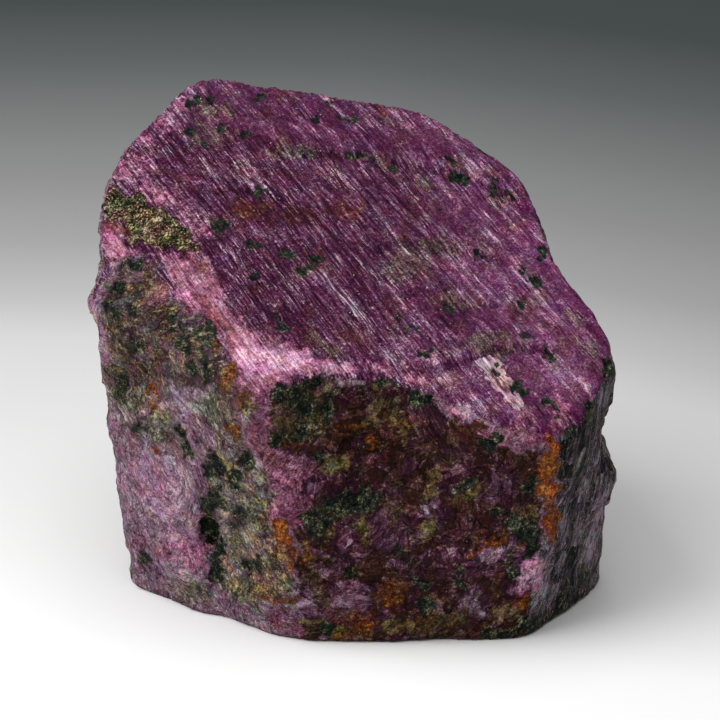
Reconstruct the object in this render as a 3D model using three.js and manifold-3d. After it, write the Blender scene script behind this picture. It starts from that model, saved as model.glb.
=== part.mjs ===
// A ruby crystal as it was found: one stout six-sided prism, broken flat underneath, with a slanting
// parting face on top that is ribbed with fine parallel striations.
// The stone is one piece. Its side walls are one closed loft, and a ribbed block cuts off their top.
import * as THREE from "three";
import { ImprovedNoise } from "three/addons/math/ImprovedNoise.js";
import { mergeVertices } from "three/addons/utils/BufferGeometryUtils.js";
import Module from "manifold-3d";

const wasm = await Module();
wasm.setup();
const { clamp, degToRad, smoothstep } = THREE.MathUtils;

// ---- Driving dimensions, millimetres. +X runs across the front, +Y to the back, +Z up. ----

// The upright edges of the prism, anticlockwise from above. Each runs straight from its foot on the base
// to its head on the top face, and is rounded off in plan over the length `worn` on either side.
const EDGES = [
  { name: "left", foot: [-45.6, -17.6], head: [-51.6, -14.4], rise: 61, worn: 3.5 },
  { name: "front_left", foot: [-12.5, -40.4], head: [-18.6, -41], rise: 51, worn: 6 },
  { name: "front_right", foot: [32.5, -38.9], head: [39.4, -39.4], rise: 43, worn: 5 },
  { name: "right", foot: [49.2, -17.5], head: [49.4, -19.5], rise: 51, worn: 5 },
  { name: "back_right", foot: [36, 29], head: [33.4, 28.8], rise: 75, worn: 15 },
  { name: "back", foot: [12, 38], head: [11, 41], rise: 84, worn: 10 },
  { name: "back_left", foot: [-24, 38], head: [-34, 41.6], rise: 90, worn: 7 },
  { name: "left_back", foot: [-43, 12], head: [-49.2, 19], rise: 83, worn: 12 },
];

// The parting face on top: a plane that falls to the front and a little to the right.
const TOP_AT_AXIS = 67.2;
const TOP_SLOPE_X = -0.15;
const TOP_SLOPE_Y = 0.468;

// The shoulder: beyond this line the top falls away to the left wall, steeply at the left edge and
// hardly at all at the front one.
const SHOULDER_START = [-43.5, 7.5];
const SHOULDER_END = [-14.5, -33];
const SHOULDER_FALL_LEFT = 0.34;
const SHOULDER_FALL_FRONT = 0.08;
const SHOULDER_SOFTNESS = 1.6;

// Striations on the top face: their direction in plan, and the pitch, height and length of the ribs.
// They die out where the shoulder has fallen this far.
const STRIATION_TURN = degToRad(-58);
const RIB_PITCH = 1.7;
const RIB_HEIGHT = 0.55;
const RIB_LENGTH = 26;
const RIB_FADE = [0.3, 1.5];

// The long swells under the striations.
const SWELL_LENGTH = 16;
const SWELL_HEIGHT = 0.9;

// A low ledge crosses the top face along these points, and the face behind it is higher.
const LEDGE_LINE = [
  [-60, 26],
  [-28, 25.8],
  [-15.4, 20.3],
  [-5, 21.8],
  [1.2, 23.4],
  [7.8, 21],
  [22, 20.4],
  [30, 17.7],
  [60, 2],
];
const LEDGE_RISE = 0.7;
const LEDGE_RUN = 3;

// The lower edge of the mica on the shoulder is a small overhanging ledge along these points.
const MICA_LINE = [
  [-60, 2],
  [-51.4, 0.4],
  [-45, -2.6],
  [-40.6, -5.7],
  [-35.6, -7.8],
  [-31, -7.8],
];
const MICA_DROP = 1.1;
const MICA_RUN = 2.2;
const MICA_FADE = [-36, -30];

// The worn rim between the walls and the top face: its radius, and how much of it is worn away.
const RIM_WEAR = 2.6;
const RIM_WORN_SHARE = 0.85;

// The broken scoop under the front rim.
const SCOOP_CENTRE_X = 3;
const SCOOP_HALF_WIDTH = 17;
const SCOOP_DEPTH = 8.2;
const SCOOP_REACH = 33;
const SCOOP_MAX_Y = -20;

// Lumps (positive) and hollows (negative) of the walls: which edge's wall, how far along it from 0 to 1,
// height above the base, radius along the wall, radius up and down, and rise.
const LUMPS = [
  { wall: "left", along: 0.02, up: 60, wide: 5, tall: 2.6, rise: 1.1 },
  { wall: "left_back", along: 0.95, up: 66, wide: 6, tall: 2.4, rise: -1.6 },
  { wall: "left_back", along: 0.85, up: 73.5, wide: 11, tall: 6, rise: 3 },
  { wall: "left_back", along: 0.4, up: 79, wide: 12, tall: 9, rise: 1.2 },
  { wall: "left", along: 0.32, up: 16, wide: 8, tall: 12, rise: 0.8 },
  { wall: "left", along: 0, up: 50, wide: 7, tall: 8, rise: 1.1 },
  { wall: "left", along: 0.5, up: 46, wide: 9, tall: 9, rise: 0.7 },
  { wall: "front_left", along: 0.1, up: 27, wide: 7, tall: 9, rise: 0.9 },
  { wall: "front_left", along: 0.75, up: 19, wide: 9, tall: 6, rise: 1.1 },
  { wall: "front_left", along: 0.5, up: 8, wide: 14, tall: 7, rise: 0.8 },
  { wall: "front_right", along: 0.9, up: 25, wide: 7, tall: 5, rise: 2 },
  { wall: "front_right", along: 0.95, up: 35, wide: 7, tall: 3.4, rise: -1.2 },
  { wall: "right", along: 0.1, up: 12, wide: 8, tall: 9, rise: 0.6 },
  { wall: "right", along: 0.55, up: 38, wide: 14, tall: 18, rise: -1.6 },
  { wall: "right", along: 0.5, up: 63, wide: 11, tall: 16, rise: -2.6 },
  { wall: "right", along: 0.2, up: 57, wide: 9, tall: 9, rise: 1.4 },
  { wall: "right", along: 0.3, up: 20, wide: 9, tall: 8, rise: 1.2 },
  { wall: "back_right", along: 0.5, up: 50, wide: 10, tall: 12, rise: 1.2 },
  { wall: "back", along: 0.35, up: 30, wide: 12, tall: 14, rise: -1.8 },
  { wall: "back", along: 0.7, up: 62, wide: 13, tall: 11, rise: 1.5 },
  { wall: "back_left", along: 0.5, up: 24, wide: 11, tall: 12, rise: 1.3 },
  { wall: "back_left", along: 0.6, up: 52, wide: 9, tall: 10, rise: -1.4 },
  { wall: "left_back", along: 0.45, up: 30, wide: 9, tall: 12, rise: 1.1 },
];

// A flake stands proud on the left wall, to the left of this line of [height, x] points.
const FLAKE_LINE = [
  [0, -28],
  [4.5, -28.5],
  [17, -31],
  [25, -27.8],
  [31, -29.6],
  [36, -32.4],
  [42, -39],
];
const FLAKE_RISE = 1.1;
const FLAKE_RUN = 1.8;
const FLAKE_FADE = [30, 44];

// Grain of the walls: two sizes of lumpy noise.
const COARSE_GRAIN = 11;
const COARSE_GRAIN_RISE = 0.8;
const FINE_GRAIN = 5.2;
const FINE_GRAIN_RISE = 0.55;

// Upright growth grooves on the two right-hand walls.
const GROOVED_WALLS = ["front_right", "right"];
const GROOVE_DEPTH = 0.55;
const GROOVE_PITCH = 2.3;
const GROOVE_LENGTH = 34;

// Sampling of the walls.
const COLUMN_SPACING = 3.1;
const CORNER_STEPS = 3;
const WALL_ROWS = 19;
const RIM_STEPS = [1, 0.42, 0.1, 0];
const OVERSHOOT = 12;

// Sampling of the block that cuts the top.
const BLOCK_HALF = 78;
const BLOCK_STEP_ALONG = 3.2;
const BLOCK_TOP = 140;

// Pits: centre, half sizes along the wall, into it and up, then lean and turn about the vertical in
// degrees. The first is in the left wall, under its flake, and the second is a cleft in the front one.
const PITS = [
  { centre: [-28.6, -29.4, 18.6], half: [1.9, 1.9, 5.2], lean: 12, turn: -36 },
  { centre: [-0.6, -38.5, 30.5], half: [1.1, 1.8, 3.6], lean: 14, turn: 0 },
];

// The flat slices of the solid noise that the top face's swells and ribs are read from.
const SWELL_SLICE = 7.3;
const RIB_SLICE = 2.6;

// How the height of the rim settles: passes, and the share of the way taken in each.
const RIM_PASSES = 16;
const RIM_STRIDE = 0.7;

const noise = new ImprovedNoise();

function mix(a, b, t) {
  return a + (b - a) * t;
}

// ---- The top face ----

// Where a point of the plan lies along the striations and across them.
function striationFrame(x, y) {
  const along = x * Math.cos(STRIATION_TURN) + y * Math.sin(STRIATION_TURN);
  const across = -x * Math.sin(STRIATION_TURN) + y * Math.cos(STRIATION_TURN);
  return { along, across };
}

// How far the shoulder has fallen below the plane of the top.
function shoulderFall(x, y) {
  const dx = SHOULDER_END[0] - SHOULDER_START[0];
  const dy = SHOULDER_END[1] - SHOULDER_START[1];
  const length = Math.hypot(dx, dy);
  const fromX = x - SHOULDER_START[0];
  const fromY = y - SHOULDER_START[1];
  const down = (fromX * dx + fromY * dy) / length;
  const out = (fromX * dy - fromY * dx) / length;
  const share = smoothstep(down, 0, length);
  const fall = mix(SHOULDER_FALL_LEFT, SHOULDER_FALL_FRONT, share);
  return (fall * (out + Math.hypot(out, SHOULDER_SOFTNESS))) / 2;
}

// The second coordinate of a line at `x`, the first one, read between the line's points.
function readLine(line, x) {
  const next = line.findIndex((point) => point[0] > x);
  if (next === -1) return line[line.length - 1][1];
  if (next === 0) return line[0][1];
  const [x0, y0] = line[next - 1];
  const [x1, y1] = line[next];
  return mix(y0, y1, (x - x0) / (x1 - x0));
}

// The smooth top face: plane, shoulder and ledges, with the long swells that the striations ride on.
function topHeight(x, y) {
  const plane = TOP_AT_AXIS + TOP_SLOPE_X * x + TOP_SLOPE_Y * y;
  const ledge = LEDGE_RISE * smoothstep(y - readLine(LEDGE_LINE, x), 0, LEDGE_RUN);
  const underMica = smoothstep(readLine(MICA_LINE, x) - y, 0, MICA_RUN);
  const mica = MICA_DROP * underMica * (1 - smoothstep(x, ...MICA_FADE));
  const swell = SWELL_HEIGHT * noise.noise(x / SWELL_LENGTH, y / SWELL_LENGTH, SWELL_SLICE);
  return plane - shoulderFall(x, y) + ledge - mica + swell;
}

// The ribs of the striations. They die out on the shoulder.
function ribs(x, y) {
  const { along, across } = striationFrame(x, y);
  const fade = 1 - smoothstep(shoulderFall(x, y), ...RIB_FADE);
  return RIB_HEIGHT * noise.noise(across / RIB_PITCH, along / RIB_LENGTH, RIB_SLICE) * fade;
}

// ---- The walls ----

// A point on the upright edge `index` at height z.
function edgeAt(index, z) {
  const edge = EDGES[(index + EDGES.length) % EDGES.length];
  const t = z / edge.rise;
  return new THREE.Vector2(mix(edge.foot[0], edge.head[0], t), mix(edge.foot[1], edge.head[1], t));
}

// A point on the rounded-off corner of edge `index`: bend runs from 0 to 1 round the corner.
function cornerAt(index, bend, z) {
  const tip = edgeAt(index, z);
  const worn = EDGES[index].worn;
  const before = edgeAt(index - 1, z).sub(tip).setLength(worn).add(tip);
  const after = edgeAt(index + 1, z).sub(tip).setLength(worn).add(tip);
  return new THREE.QuadraticBezierCurve(before, tip, after).getPoint(bend);
}

// Every column of the walls, anticlockwise: round each corner, then along the wall to the next one.
function wallColumns() {
  const columns = [];
  EDGES.forEach((edge, index) => {
    const next = (index + 1) % EDGES.length;
    for (let step = 0; step <= CORNER_STEPS; step += 1) {
      const bend = step / CORNER_STEPS;
      columns.push({ wall: index, plan: (z) => cornerAt(index, bend, z) });
    }
    const length = edgeAt(index, edge.rise).distanceTo(edgeAt(next, edge.rise));
    const flat = length - edge.worn - EDGES[next].worn;
    const steps = Math.max(1, Math.round(flat / COLUMN_SPACING));
    for (let step = 1; step < steps; step += 1) {
      const share = step / steps;
      columns.push({ wall: index, plan: (z) => cornerAt(index, 1, z).lerp(cornerAt(next, 0, z), share) });
    }
  });
  columns.forEach((column, index) => {
    const ahead = columns[(index + 1) % columns.length];
    const behind = columns[(index + columns.length - 1) % columns.length];
    column.outward = (z) => {
      const chord = ahead.plan(z).sub(behind.plan(z));
      return new THREE.Vector2(chord.y, -chord.x).normalize();
    };
  });
  return columns;
}

// How far the walls swell out at a point.
function wallRelief(column, point, depth) {
  const { x, y, z } = point;
  let rise = COARSE_GRAIN_RISE * noise.noise(x / COARSE_GRAIN, y / COARSE_GRAIN, z / COARSE_GRAIN);
  rise += FINE_GRAIN_RISE * noise.noise(x / FINE_GRAIN, y / FINE_GRAIN, z / FINE_GRAIN);
  if (GROOVED_WALLS.includes(EDGES[column.wall].name)) {
    rise += GROOVE_DEPTH * noise.noise(x / GROOVE_PITCH, y / GROOVE_PITCH, z / GROOVE_LENGTH);
  }
  for (const lump of LUMPS) {
    const from = EDGES.findIndex((edge) => edge.name === lump.wall);
    const centre = edgeAt(from, lump.up).lerp(edgeAt(from + 1, lump.up), lump.along);
    const sideways = Math.hypot(x - centre.x, y - centre.y) / lump.wide;
    const upward = (z - lump.up) / lump.tall;
    rise += lump.rise * Math.exp(-sideways * sideways - upward * upward);
  }
  if (EDGES[column.wall].name === "left") {
    const proud = smoothstep(readLine(FLAKE_LINE, z) - x, 0, FLAKE_RUN);
    rise += FLAKE_RISE * proud * (1 - smoothstep(z, ...FLAKE_FADE));
  }
  if (y < SCOOP_MAX_Y) {
    const sideways = Math.abs(x - SCOOP_CENTRE_X) / SCOOP_HALF_WIDTH;
    const fade = 1 - smoothstep(depth, 0, SCOOP_REACH);
    rise -= SCOOP_DEPTH * Math.exp(-(sideways ** 3)) * fade;
  }
  return rise;
}

// The surface of the walls at height z of a column, `depth` below the top face.
function wallPoint(column, z, depth) {
  const plan = column.plan(z);
  const point = new THREE.Vector3(plan.x, plan.y, z);
  const push = wallRelief(column, point, Math.max(depth, 0)) - rimInset(depth);
  const outward = column.outward(z);
  return new THREE.Vector3(plan.x + outward.x * push, plan.y + outward.y * push, z);
}

// The height at which a column meets the top face.
function rimHeight(column) {
  let z = TOP_AT_AXIS;
  for (let pass = 0; pass < RIM_PASSES; pass += 1) {
    const { x, y } = wallPoint(column, z, 0);
    z = mix(z, topHeight(x, y), RIM_STRIDE);
  }
  return z;
}

// The heights of a column's points, from the base up over the worn rim.
function columnHeights(rim) {
  const wall = rim - RIM_WEAR;
  const heights = [];
  for (let row = 0; row < WALL_ROWS; row += 1) heights.push((wall * row) / WALL_ROWS);
  for (const step of RIM_STEPS) heights.push(rim - RIM_WEAR * step);
  heights.push(rim + OVERSHOOT);
  return heights;
}

// How far the rim is worn back at a depth below the top face.
function rimInset(depth) {
  const near = clamp(1 - depth / RIM_WEAR, 0, 1);
  return RIM_WEAR * (1 - Math.sqrt(1 - near * near)) * RIM_WORN_SHARE;
}

function buildWalls() {
  const columns = wallColumns();
  const count = columns.length;
  const rows = WALL_ROWS + RIM_STEPS.length + 1;
  const positions = [];
  const heights = columns.map((column) => columnHeights(rimHeight(column)));
  for (let row = 0; row < rows; row += 1) {
    columns.forEach((column, index) => {
      const z = heights[index][row];
      const rim = heights[index][rows - 2];
      positions.push(...wallPoint(column, z, rim - z).toArray());
    });
  }
  const foot = positions.length / 3;
  positions.push(0, 0, 0);
  positions.push(0, 0, TOP_AT_AXIS + OVERSHOOT);
  const triangles = [];
  for (let row = 0; row < rows - 1; row += 1) {
    for (let index = 0; index < count; index += 1) {
      const next = (index + 1) % count;
      const a = row * count + index;
      const b = row * count + next;
      const c = a + count;
      const d = b + count;
      triangles.push(a, b, d, a, d, c);
    }
  }
  for (let index = 0; index < count; index += 1) {
    const next = (index + 1) % count;
    triangles.push(foot, next, index);
    triangles.push(foot + 1, (rows - 1) * count + index, (rows - 1) * count + next);
  }
  return closedGeometry(positions, triangles);
}

// The block above the top face. Its underside carries the face and its ribs.
function buildCuttingBlock() {
  const across = Math.ceil((2 * BLOCK_HALF) / RIB_PITCH);
  const along = Math.ceil((2 * BLOCK_HALF) / BLOCK_STEP_ALONG);
  const box = new THREE.BoxGeometry(2 * BLOCK_HALF, 2 * BLOCK_HALF, 1, along, across, 1);
  box.rotateZ(STRIATION_TURN);
  const position = box.getAttribute("position");
  for (let index = 0; index < position.count; index += 1) {
    const x = position.getX(index);
    const y = position.getY(index);
    const under = position.getZ(index) < 0;
    position.setZ(index, under ? topHeight(x, y) + ribs(x, y) : BLOCK_TOP);
  }
  return box;
}

function closedGeometry(positions, triangles) {
  const geometry = new THREE.BufferGeometry();
  geometry.setAttribute("position", new THREE.Float32BufferAttribute(positions, 3));
  geometry.setIndex(triangles);
  return geometry;
}

// ---- Joining and cutting ----

const MERGE_WITHIN = 1e-4;

function toSolid(geometry) {
  const bare = geometry.clone();
  bare.deleteAttribute("normal");
  bare.deleteAttribute("uv");
  const merged = mergeVertices(bare, MERGE_WITHIN);
  return new wasm.Manifold(
    new wasm.Mesh({
      numProp: 3,
      vertProperties: new Float32Array(merged.getAttribute("position").array),
      triVerts: new Uint32Array(merged.index.array),
    }),
  );
}

function toGeometry(solid) {
  const mesh = solid.getMesh();
  return closedGeometry(Array.from(mesh.vertProperties), Array.from(mesh.triVerts));
}

function pitSolid(pit) {
  const geometry = new THREE.IcosahedronGeometry(1, 2);
  geometry.scale(...pit.half);
  geometry.rotateY(degToRad(pit.lean));
  geometry.rotateZ(degToRad(pit.turn));
  geometry.translate(...pit.centre);
  return toSolid(geometry);
}

let stone = toSolid(buildWalls()).subtract(toSolid(buildCuttingBlock()));
for (const pit of PITS) stone = stone.subtract(pitSolid(pit));

// The origin goes under the middle of the stone, on its base.
const geometry = toGeometry(stone);
geometry.computeBoundingBox();
const middle = geometry.boundingBox.getCenter(new THREE.Vector3());
geometry.translate(-middle.x, -middle.y, 0);
geometry.computeVertexNormals();
const ruby = new THREE.MeshStandardMaterial({ color: 0x6d3258, roughness: 0.55, metalness: 0 });
const crystal = new THREE.Mesh(geometry, ruby);
crystal.name = "ruby_crystal";

const part = new THREE.Group();
part.add(crystal);

export default part;
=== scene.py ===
"""The looks of the ruby crystal: a fine mesh over the CAD stone, with its striations, ledges, flakes and
pits, and one procedural stone material that is coloured by mineral masks laid on the mesh."""

import math

import bmesh
import bpy
import numpy as np
from mathutils import Matrix, Vector, noise


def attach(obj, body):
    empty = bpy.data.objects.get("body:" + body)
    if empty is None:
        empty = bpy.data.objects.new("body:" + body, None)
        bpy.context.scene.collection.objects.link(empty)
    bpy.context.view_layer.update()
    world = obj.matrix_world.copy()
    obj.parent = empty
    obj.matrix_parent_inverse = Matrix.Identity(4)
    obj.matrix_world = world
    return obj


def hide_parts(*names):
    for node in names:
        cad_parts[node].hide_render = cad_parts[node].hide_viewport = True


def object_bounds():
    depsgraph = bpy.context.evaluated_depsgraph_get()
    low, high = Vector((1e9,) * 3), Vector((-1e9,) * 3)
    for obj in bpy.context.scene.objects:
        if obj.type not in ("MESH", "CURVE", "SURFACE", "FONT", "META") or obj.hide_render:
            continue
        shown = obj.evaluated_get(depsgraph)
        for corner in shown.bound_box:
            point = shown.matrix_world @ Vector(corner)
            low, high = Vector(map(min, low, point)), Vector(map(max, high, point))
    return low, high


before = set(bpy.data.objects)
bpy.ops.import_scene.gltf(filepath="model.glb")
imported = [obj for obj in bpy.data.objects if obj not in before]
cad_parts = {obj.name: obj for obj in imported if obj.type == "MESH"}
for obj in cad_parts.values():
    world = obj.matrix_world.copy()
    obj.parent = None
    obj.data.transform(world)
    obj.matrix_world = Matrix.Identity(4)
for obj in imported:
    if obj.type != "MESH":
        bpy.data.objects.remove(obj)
cad_box = [list(corner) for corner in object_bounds()]

MM = 0.001
NODE = "ruby_crystal"
scene = bpy.context.scene

# ---- The viewpoint of the reference picture ----

IMAGE_SIDE = 720
SENSOR_MM = 36.0
LENS_MM = 90.0
CAMERA_ELEVATION = math.radians(22.0)
CAMERA_DISTANCE_MM = 365.0
# The middle of the frame, in the stone's own axes.
AIM_MM = Vector((1.135, -0.44, 42.0))
CAMERA_BACK = Vector((0.0, -math.cos(CAMERA_ELEVATION), math.sin(CAMERA_ELEVATION)))
CAMERA_UP = Vector((0.0, math.sin(CAMERA_ELEVATION), math.cos(CAMERA_ELEVATION)))
CAMERA_PLACE_MM = AIM_MM + CAMERA_BACK * CAMERA_DISTANCE_MM

# ---- The directions of the stone, in its own axes ----

TOP_NORMAL = Vector((0.15, -0.468, 1.0)).normalized()
STRIATION_TURN = math.radians(-58.0)
STRIATION_PLAN = Vector((math.cos(STRIATION_TURN), math.sin(STRIATION_TURN), 0.0))
# The striations run in that plan direction, along the slope of the top.
STRIATION = (STRIATION_PLAN - TOP_NORMAL * STRIATION_PLAN.dot(TOP_NORMAL)).normalized()
ACROSS = STRIATION.cross(TOP_NORMAL)

# Which way the fibres of each wall run, and the plan directions that two of the walls face, in degrees.
LEFT_FIBRES = Vector((0.42, -0.33, -0.85)).normalized()
FRONT_FIBRES = Vector((0.62, 0.0, 0.78)).normalized()
RIGHT_FIBRES = Vector((0.13, 0.26, 0.96)).normalized()
LEFT_FACING = -128.0
RIGHT_FACING = -27.0

# ---- Patches of each mineral ----
# Each row is one patch where the camera sees it: how solid it is, the pixels across and down to its middle,
# its half length and half width, and its turn in degrees anticlockwise where it is turned.

TOP_INCLUSIONS = [
    (1.0, 196, 103, 9, 4, -15), (1.0, 212, 102, 6, 4), (0.7, 262, 100, 9, 3.5), (1.0, 326, 103, 8, 4, 10),
    (1.0, 314, 117, 8, 4), (0.9, 347, 119, 10, 4, -8), (0.9, 413, 121, 7, 4, -8),
    (1.0, 353, 158, 15, 4, -2), (1.0, 391, 169, 10, 3.5, -8), (0.9, 449, 164, 8, 4.5, -30),
    (1.0, 459, 179, 10, 5, -25), (1.0, 494, 191, 8, 4.5, -80), (0.9, 508, 197, 6, 4),
    (1.0, 541, 251, 8, 6, -45), (0.9, 552, 261, 6, 4, -45), (0.9, 521, 269, 7, 4, -30),
    (0.9, 534, 283, 8, 4, -40), (0.8, 519, 305, 6, 5), (0.8, 396, 319, 5, 4), (0.8, 413, 328, 8, 5, -10),
    (1.0, 549, 353, 8, 5, -15), (1.0, 422, 358, 6, 4.5), (0.95, 219, 226, 11, 8, -60),
    (0.9, 253, 242, 9, 4.5), (1.0, 254, 276, 7, 4.5, -40), (0.9, 288, 256, 10, 6, -15),
    (1.0, 321, 257, 9, 4, 5), (1.0, 306, 270, 13, 6.5, 22), (0.8, 279, 317, 5, 5), (0.9, 285, 327, 6, 6),
    (0.85, 189, 137, 11, 5, -12), (0.8, 207, 146, 8, 5, -30), (0.75, 222, 129, 10, 4.5, -15),
    (0.8, 245, 137, 7, 4.5), (0.75, 258, 194, 9, 4.5), (0.95, 495, 372, 7, 5, -20),
    (0.95, 518, 389, 10, 5, -55), (1.0, 551, 407, 12, 5, -38), (0.9, 475, 254, 8, 4, -10),
    (0.7, 446, 309, 10, 5, -10), (0.65, 523, 340, 10, 6, 10),
]
TOP_MOSS = [
    (0.75, 212, 113, 12, 7), (0.7, 226, 114, 9, 10), (0.6, 203, 136, 26, 12, -12), (0.75, 292, 153, 34, 6),
    (0.65, 366, 160, 22, 6, -8), (0.8, 412, 262, 22, 14, -15), (0.9, 448, 247, 32, 8, -4),
    (0.8, 400, 274, 18, 9, -10), (0.6, 422, 180, 12, 6, -60), (0.85, 484, 345, 26, 10, 6),
    (0.6, 455, 303, 28, 6, -10), (0.8, 508, 352, 16, 5, 15), (0.8, 530, 277, 16, 5, -42),
    (0.8, 314, 336, 14, 5, -45), (0.9, 332, 348, 12, 6, -15), (0.6, 577, 322, 14, 6, -62),
    (0.7, 592, 346, 12, 6, -60), (0.7, 388, 122, 12, 5, -10), (0.7, 492, 198, 12, 5, -50),
]
TOP_RUST = [
    (0.9, 242, 212, 16, 11, -30), (0.8, 264, 206, 10, 7), (0.62, 303, 216, 32, 10),
    (0.75, 345, 212, 22, 11, -20), (0.8, 362, 205, 6, 10), (0.75, 375, 114, 14, 4, -5),
    (0.7, 407, 237, 8, 6), (0.6, 316, 251, 12, 6), (0.75, 180, 180, 26, 4, -28),
]
TOP_PALE = [
    (0.6, 232, 92, 14, 5, -10), (0.7, 185, 97, 16, 4, 28), (0.85, 243, 180, 20, 3.5, -48),
    (0.7, 228, 160, 12, 3, -48), (0.8, 262, 187, 9, 3, -60), (0.8, 311, 165, 11, 3, -55),
    (0.85, 331, 177, 16, 3.2, -55), (0.7, 350, 145, 11, 3.5, -42), (0.75, 357, 166, 13, 3.2, -55),
    (0.75, 376, 190, 13, 3, -60), (0.85, 409, 152, 12, 3.2, -50), (0.7, 422, 192, 14, 3, -60),
    (0.75, 456, 203, 12, 4, -55), (0.6, 471, 160, 14, 9), (0.85, 512, 208, 11, 7, -45),
    (1.0, 537, 234, 12, 3.2, -58), (0.7, 238, 248, 15, 6, -25), (0.6, 327, 273, 9, 10, 20),
    (0.9, 268, 236, 8, 4, -50), (0.85, 447, 288, 14, 3.6, -35), (0.65, 408, 291, 12, 4, -15),
    (1.0, 430, 366, 26, 4, -60), (0.85, 388, 348, 18, 3.2, -60), (0.8, 452, 382, 20, 3, -57),
    (1.2, 482, 365, 12, 4.5, -30), (1.3, 499, 384, 20, 5, -56), (0.6, 520, 290, 95, 55, -50),
    (0.5, 440, 372, 60, 24, -20), (0.4, 200, 180, 50, 16, -40),
]
# The palest rows at the front-left rim are partly a painted glow of light through the clear crystal.
RIM_PALE = [
    (0.6, 150, 192, 22, 8, -32), (0.5, 128, 172, 16, 12, 30), (0.55, 200, 262, 26, 5, -55),
    (0.7, 188, 290, 18, 10, -70), (0.7, 116, 250, 20, 12, -80), (0.85, 214, 300, 34, 7, -54),
    (1.0, 246, 342, 22, 11, -40), (1.4, 262, 362, 30, 15, -10), (1.2, 292, 362, 22, 12),
    (0.75, 322, 370, 24, 8, -4), (0.75, 345, 368, 16, 8), (0.6, 382, 370, 28, 8),
    (0.6, 418, 382, 14, 6, -20), (0.75, 463, 413, 14, 7, -25), (0.65, 488, 430, 12, 6),
    (0.6, 513, 438, 18, 9), (0.5, 520, 412, 18, 9),
]
WALL_PALE = [
    (0.8, 115, 419, 8, 5), (0.6, 190, 410, 9, 11), (0.6, 244, 444, 10, 7), (0.8, 502, 544, 8, 6, 30),
    (1.0, 525, 577, 20, 10, 50), (0.8, 514, 586, 9, 6), (0.7, 470, 603, 12, 11), (1.0, 480, 613, 7, 4, 40),
    (0.6, 448, 556, 8, 8), (0.65, 346, 542, 14, 3, 75), (0.6, 335, 600, 14, 3.5), (0.8, 305, 606, 6, 9),
    (0.8, 362, 641, 16, 4), (0.7, 486, 630, 8, 6), (0.65, 440, 472, 22, 3.2, 22),
    (0.75, 428, 508, 26, 3.2, 12), (0.5, 232, 600, 30, 5, -18), (0.6, 590, 470, 22, 6, 66),
    (0.6, 580, 520, 26, 8, 66), (0.5, 160, 500, 60, 34, -60), (0.55, 185, 556, 24, 24),
    (0.35, 238, 530, 24, 44), (0.5, 284, 488, 14, 44, -8),
]
WALL_PINK = [
    (0.9, 116, 245, 22, 12, -75), (0.8, 188, 296, 20, 10, -70), (0.7, 160, 298, 10, 16, -20),
    (1.1, 250, 388, 16, 9), (0.9, 253, 437, 14, 10, -80), (0.9, 285, 505, 22, 28), (0.7, 300, 470, 22, 12),
    (0.95, 195, 556, 18, 18, -40), (0.8, 206, 512, 12, 9), (0.5, 150, 480, 34, 24, -40),
    (0.6, 166, 552, 16, 10), (0.8, 285, 622, 24, 12, -35), (0.9, 520, 436, 26, 12),
    (0.8, 560, 415, 12, 18), (0.8, 550, 520, 6, 26), (0.9, 528, 577, 12, 19, -30),
]
WALL_DARK = [
    (0.8, 116, 289, 9, 9), (0.7, 112, 308, 14, 7, -30), (0.75, 132, 311, 8, 9), (0.8, 131, 267, 10, 8),
    (0.6, 140, 292, 8, 14), (0.85, 175, 322, 7, 13), (0.85, 186, 345, 10, 10), (0.9, 205, 333, 9, 14),
    (0.85, 190, 366, 9, 9), (0.85, 206, 372, 8, 15, 10), (0.7, 120, 388, 10, 16), (0.55, 140, 426, 18, 9),
    (0.6, 140, 345, 22, 8, 10), (0.75, 182, 432, 6, 12, 20), (0.75, 187, 450, 8, 10),
    (1.0, 213, 466, 10, 16), (1.0, 233, 480, 9, 9), (0.8, 216, 500, 9, 14), (0.8, 246, 462, 9, 14),
    (0.62, 238, 520, 14, 18), (1.3, 211, 534, 7, 15, 18), (0.9, 207, 516, 8, 22, 8),
    (0.85, 218, 552, 8, 14, -10), (1.1, 216, 574, 9, 10), (1.3, 255, 565, 10, 9), (0.65, 145, 562, 6, 16),
    (0.7, 290, 393, 20, 13), (1.0, 313, 383, 10, 5), (0.9, 326, 410, 8, 18), (0.8, 306, 408, 12, 12),
    (0.8, 300, 432, 18, 10, 20), (0.9, 275, 440, 7, 9), (1.1, 322, 457, 9, 5), (0.8, 345, 505, 34, 16),
    (1.0, 315, 524, 14, 13), (0.95, 371, 500, 12, 15), (0.9, 388, 385, 12, 5), (1.1, 418, 400, 11, 7, -5),
    (1.1, 489, 443, 13, 7, -5), (1.1, 532, 485, 9, 9), (0.7, 464, 486, 16, 6, 35),
    (0.7, 506, 515, 26, 5, -5), (1.1, 524, 530, 18, 12, -20), (1.1, 529, 550, 8, 7, -40),
    (1.0, 511, 566, 7, 14), (0.75, 350, 573, 12, 6), (1.0, 427, 604, 11, 9, -10), (0.9, 421, 583, 9, 5),
    (0.7, 460, 580, 8, 16), (1.0, 328, 630, 7, 6), (1.2, 538, 624, 24, 10, 12), (0.9, 500, 632, 22, 7, 5),
    (0.9, 564, 592, 9, 22, -10), (1.0, 590, 418, 7, 18), (0.9, 603, 430, 5, 20),
    (0.75, 572, 440, 6, 18, -15), (0.7, 575, 480, 5, 22, -15), (0.7, 588, 462, 6, 16, -20),
    (0.7, 566, 520, 4, 30, -8), (0.8, 585, 575, 10, 22, -25), (1.0, 576, 606, 18, 10, 30),
    (0.9, 609, 372, 6, 14), (0.7, 485, 150, 22, 4, -38),
]
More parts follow.
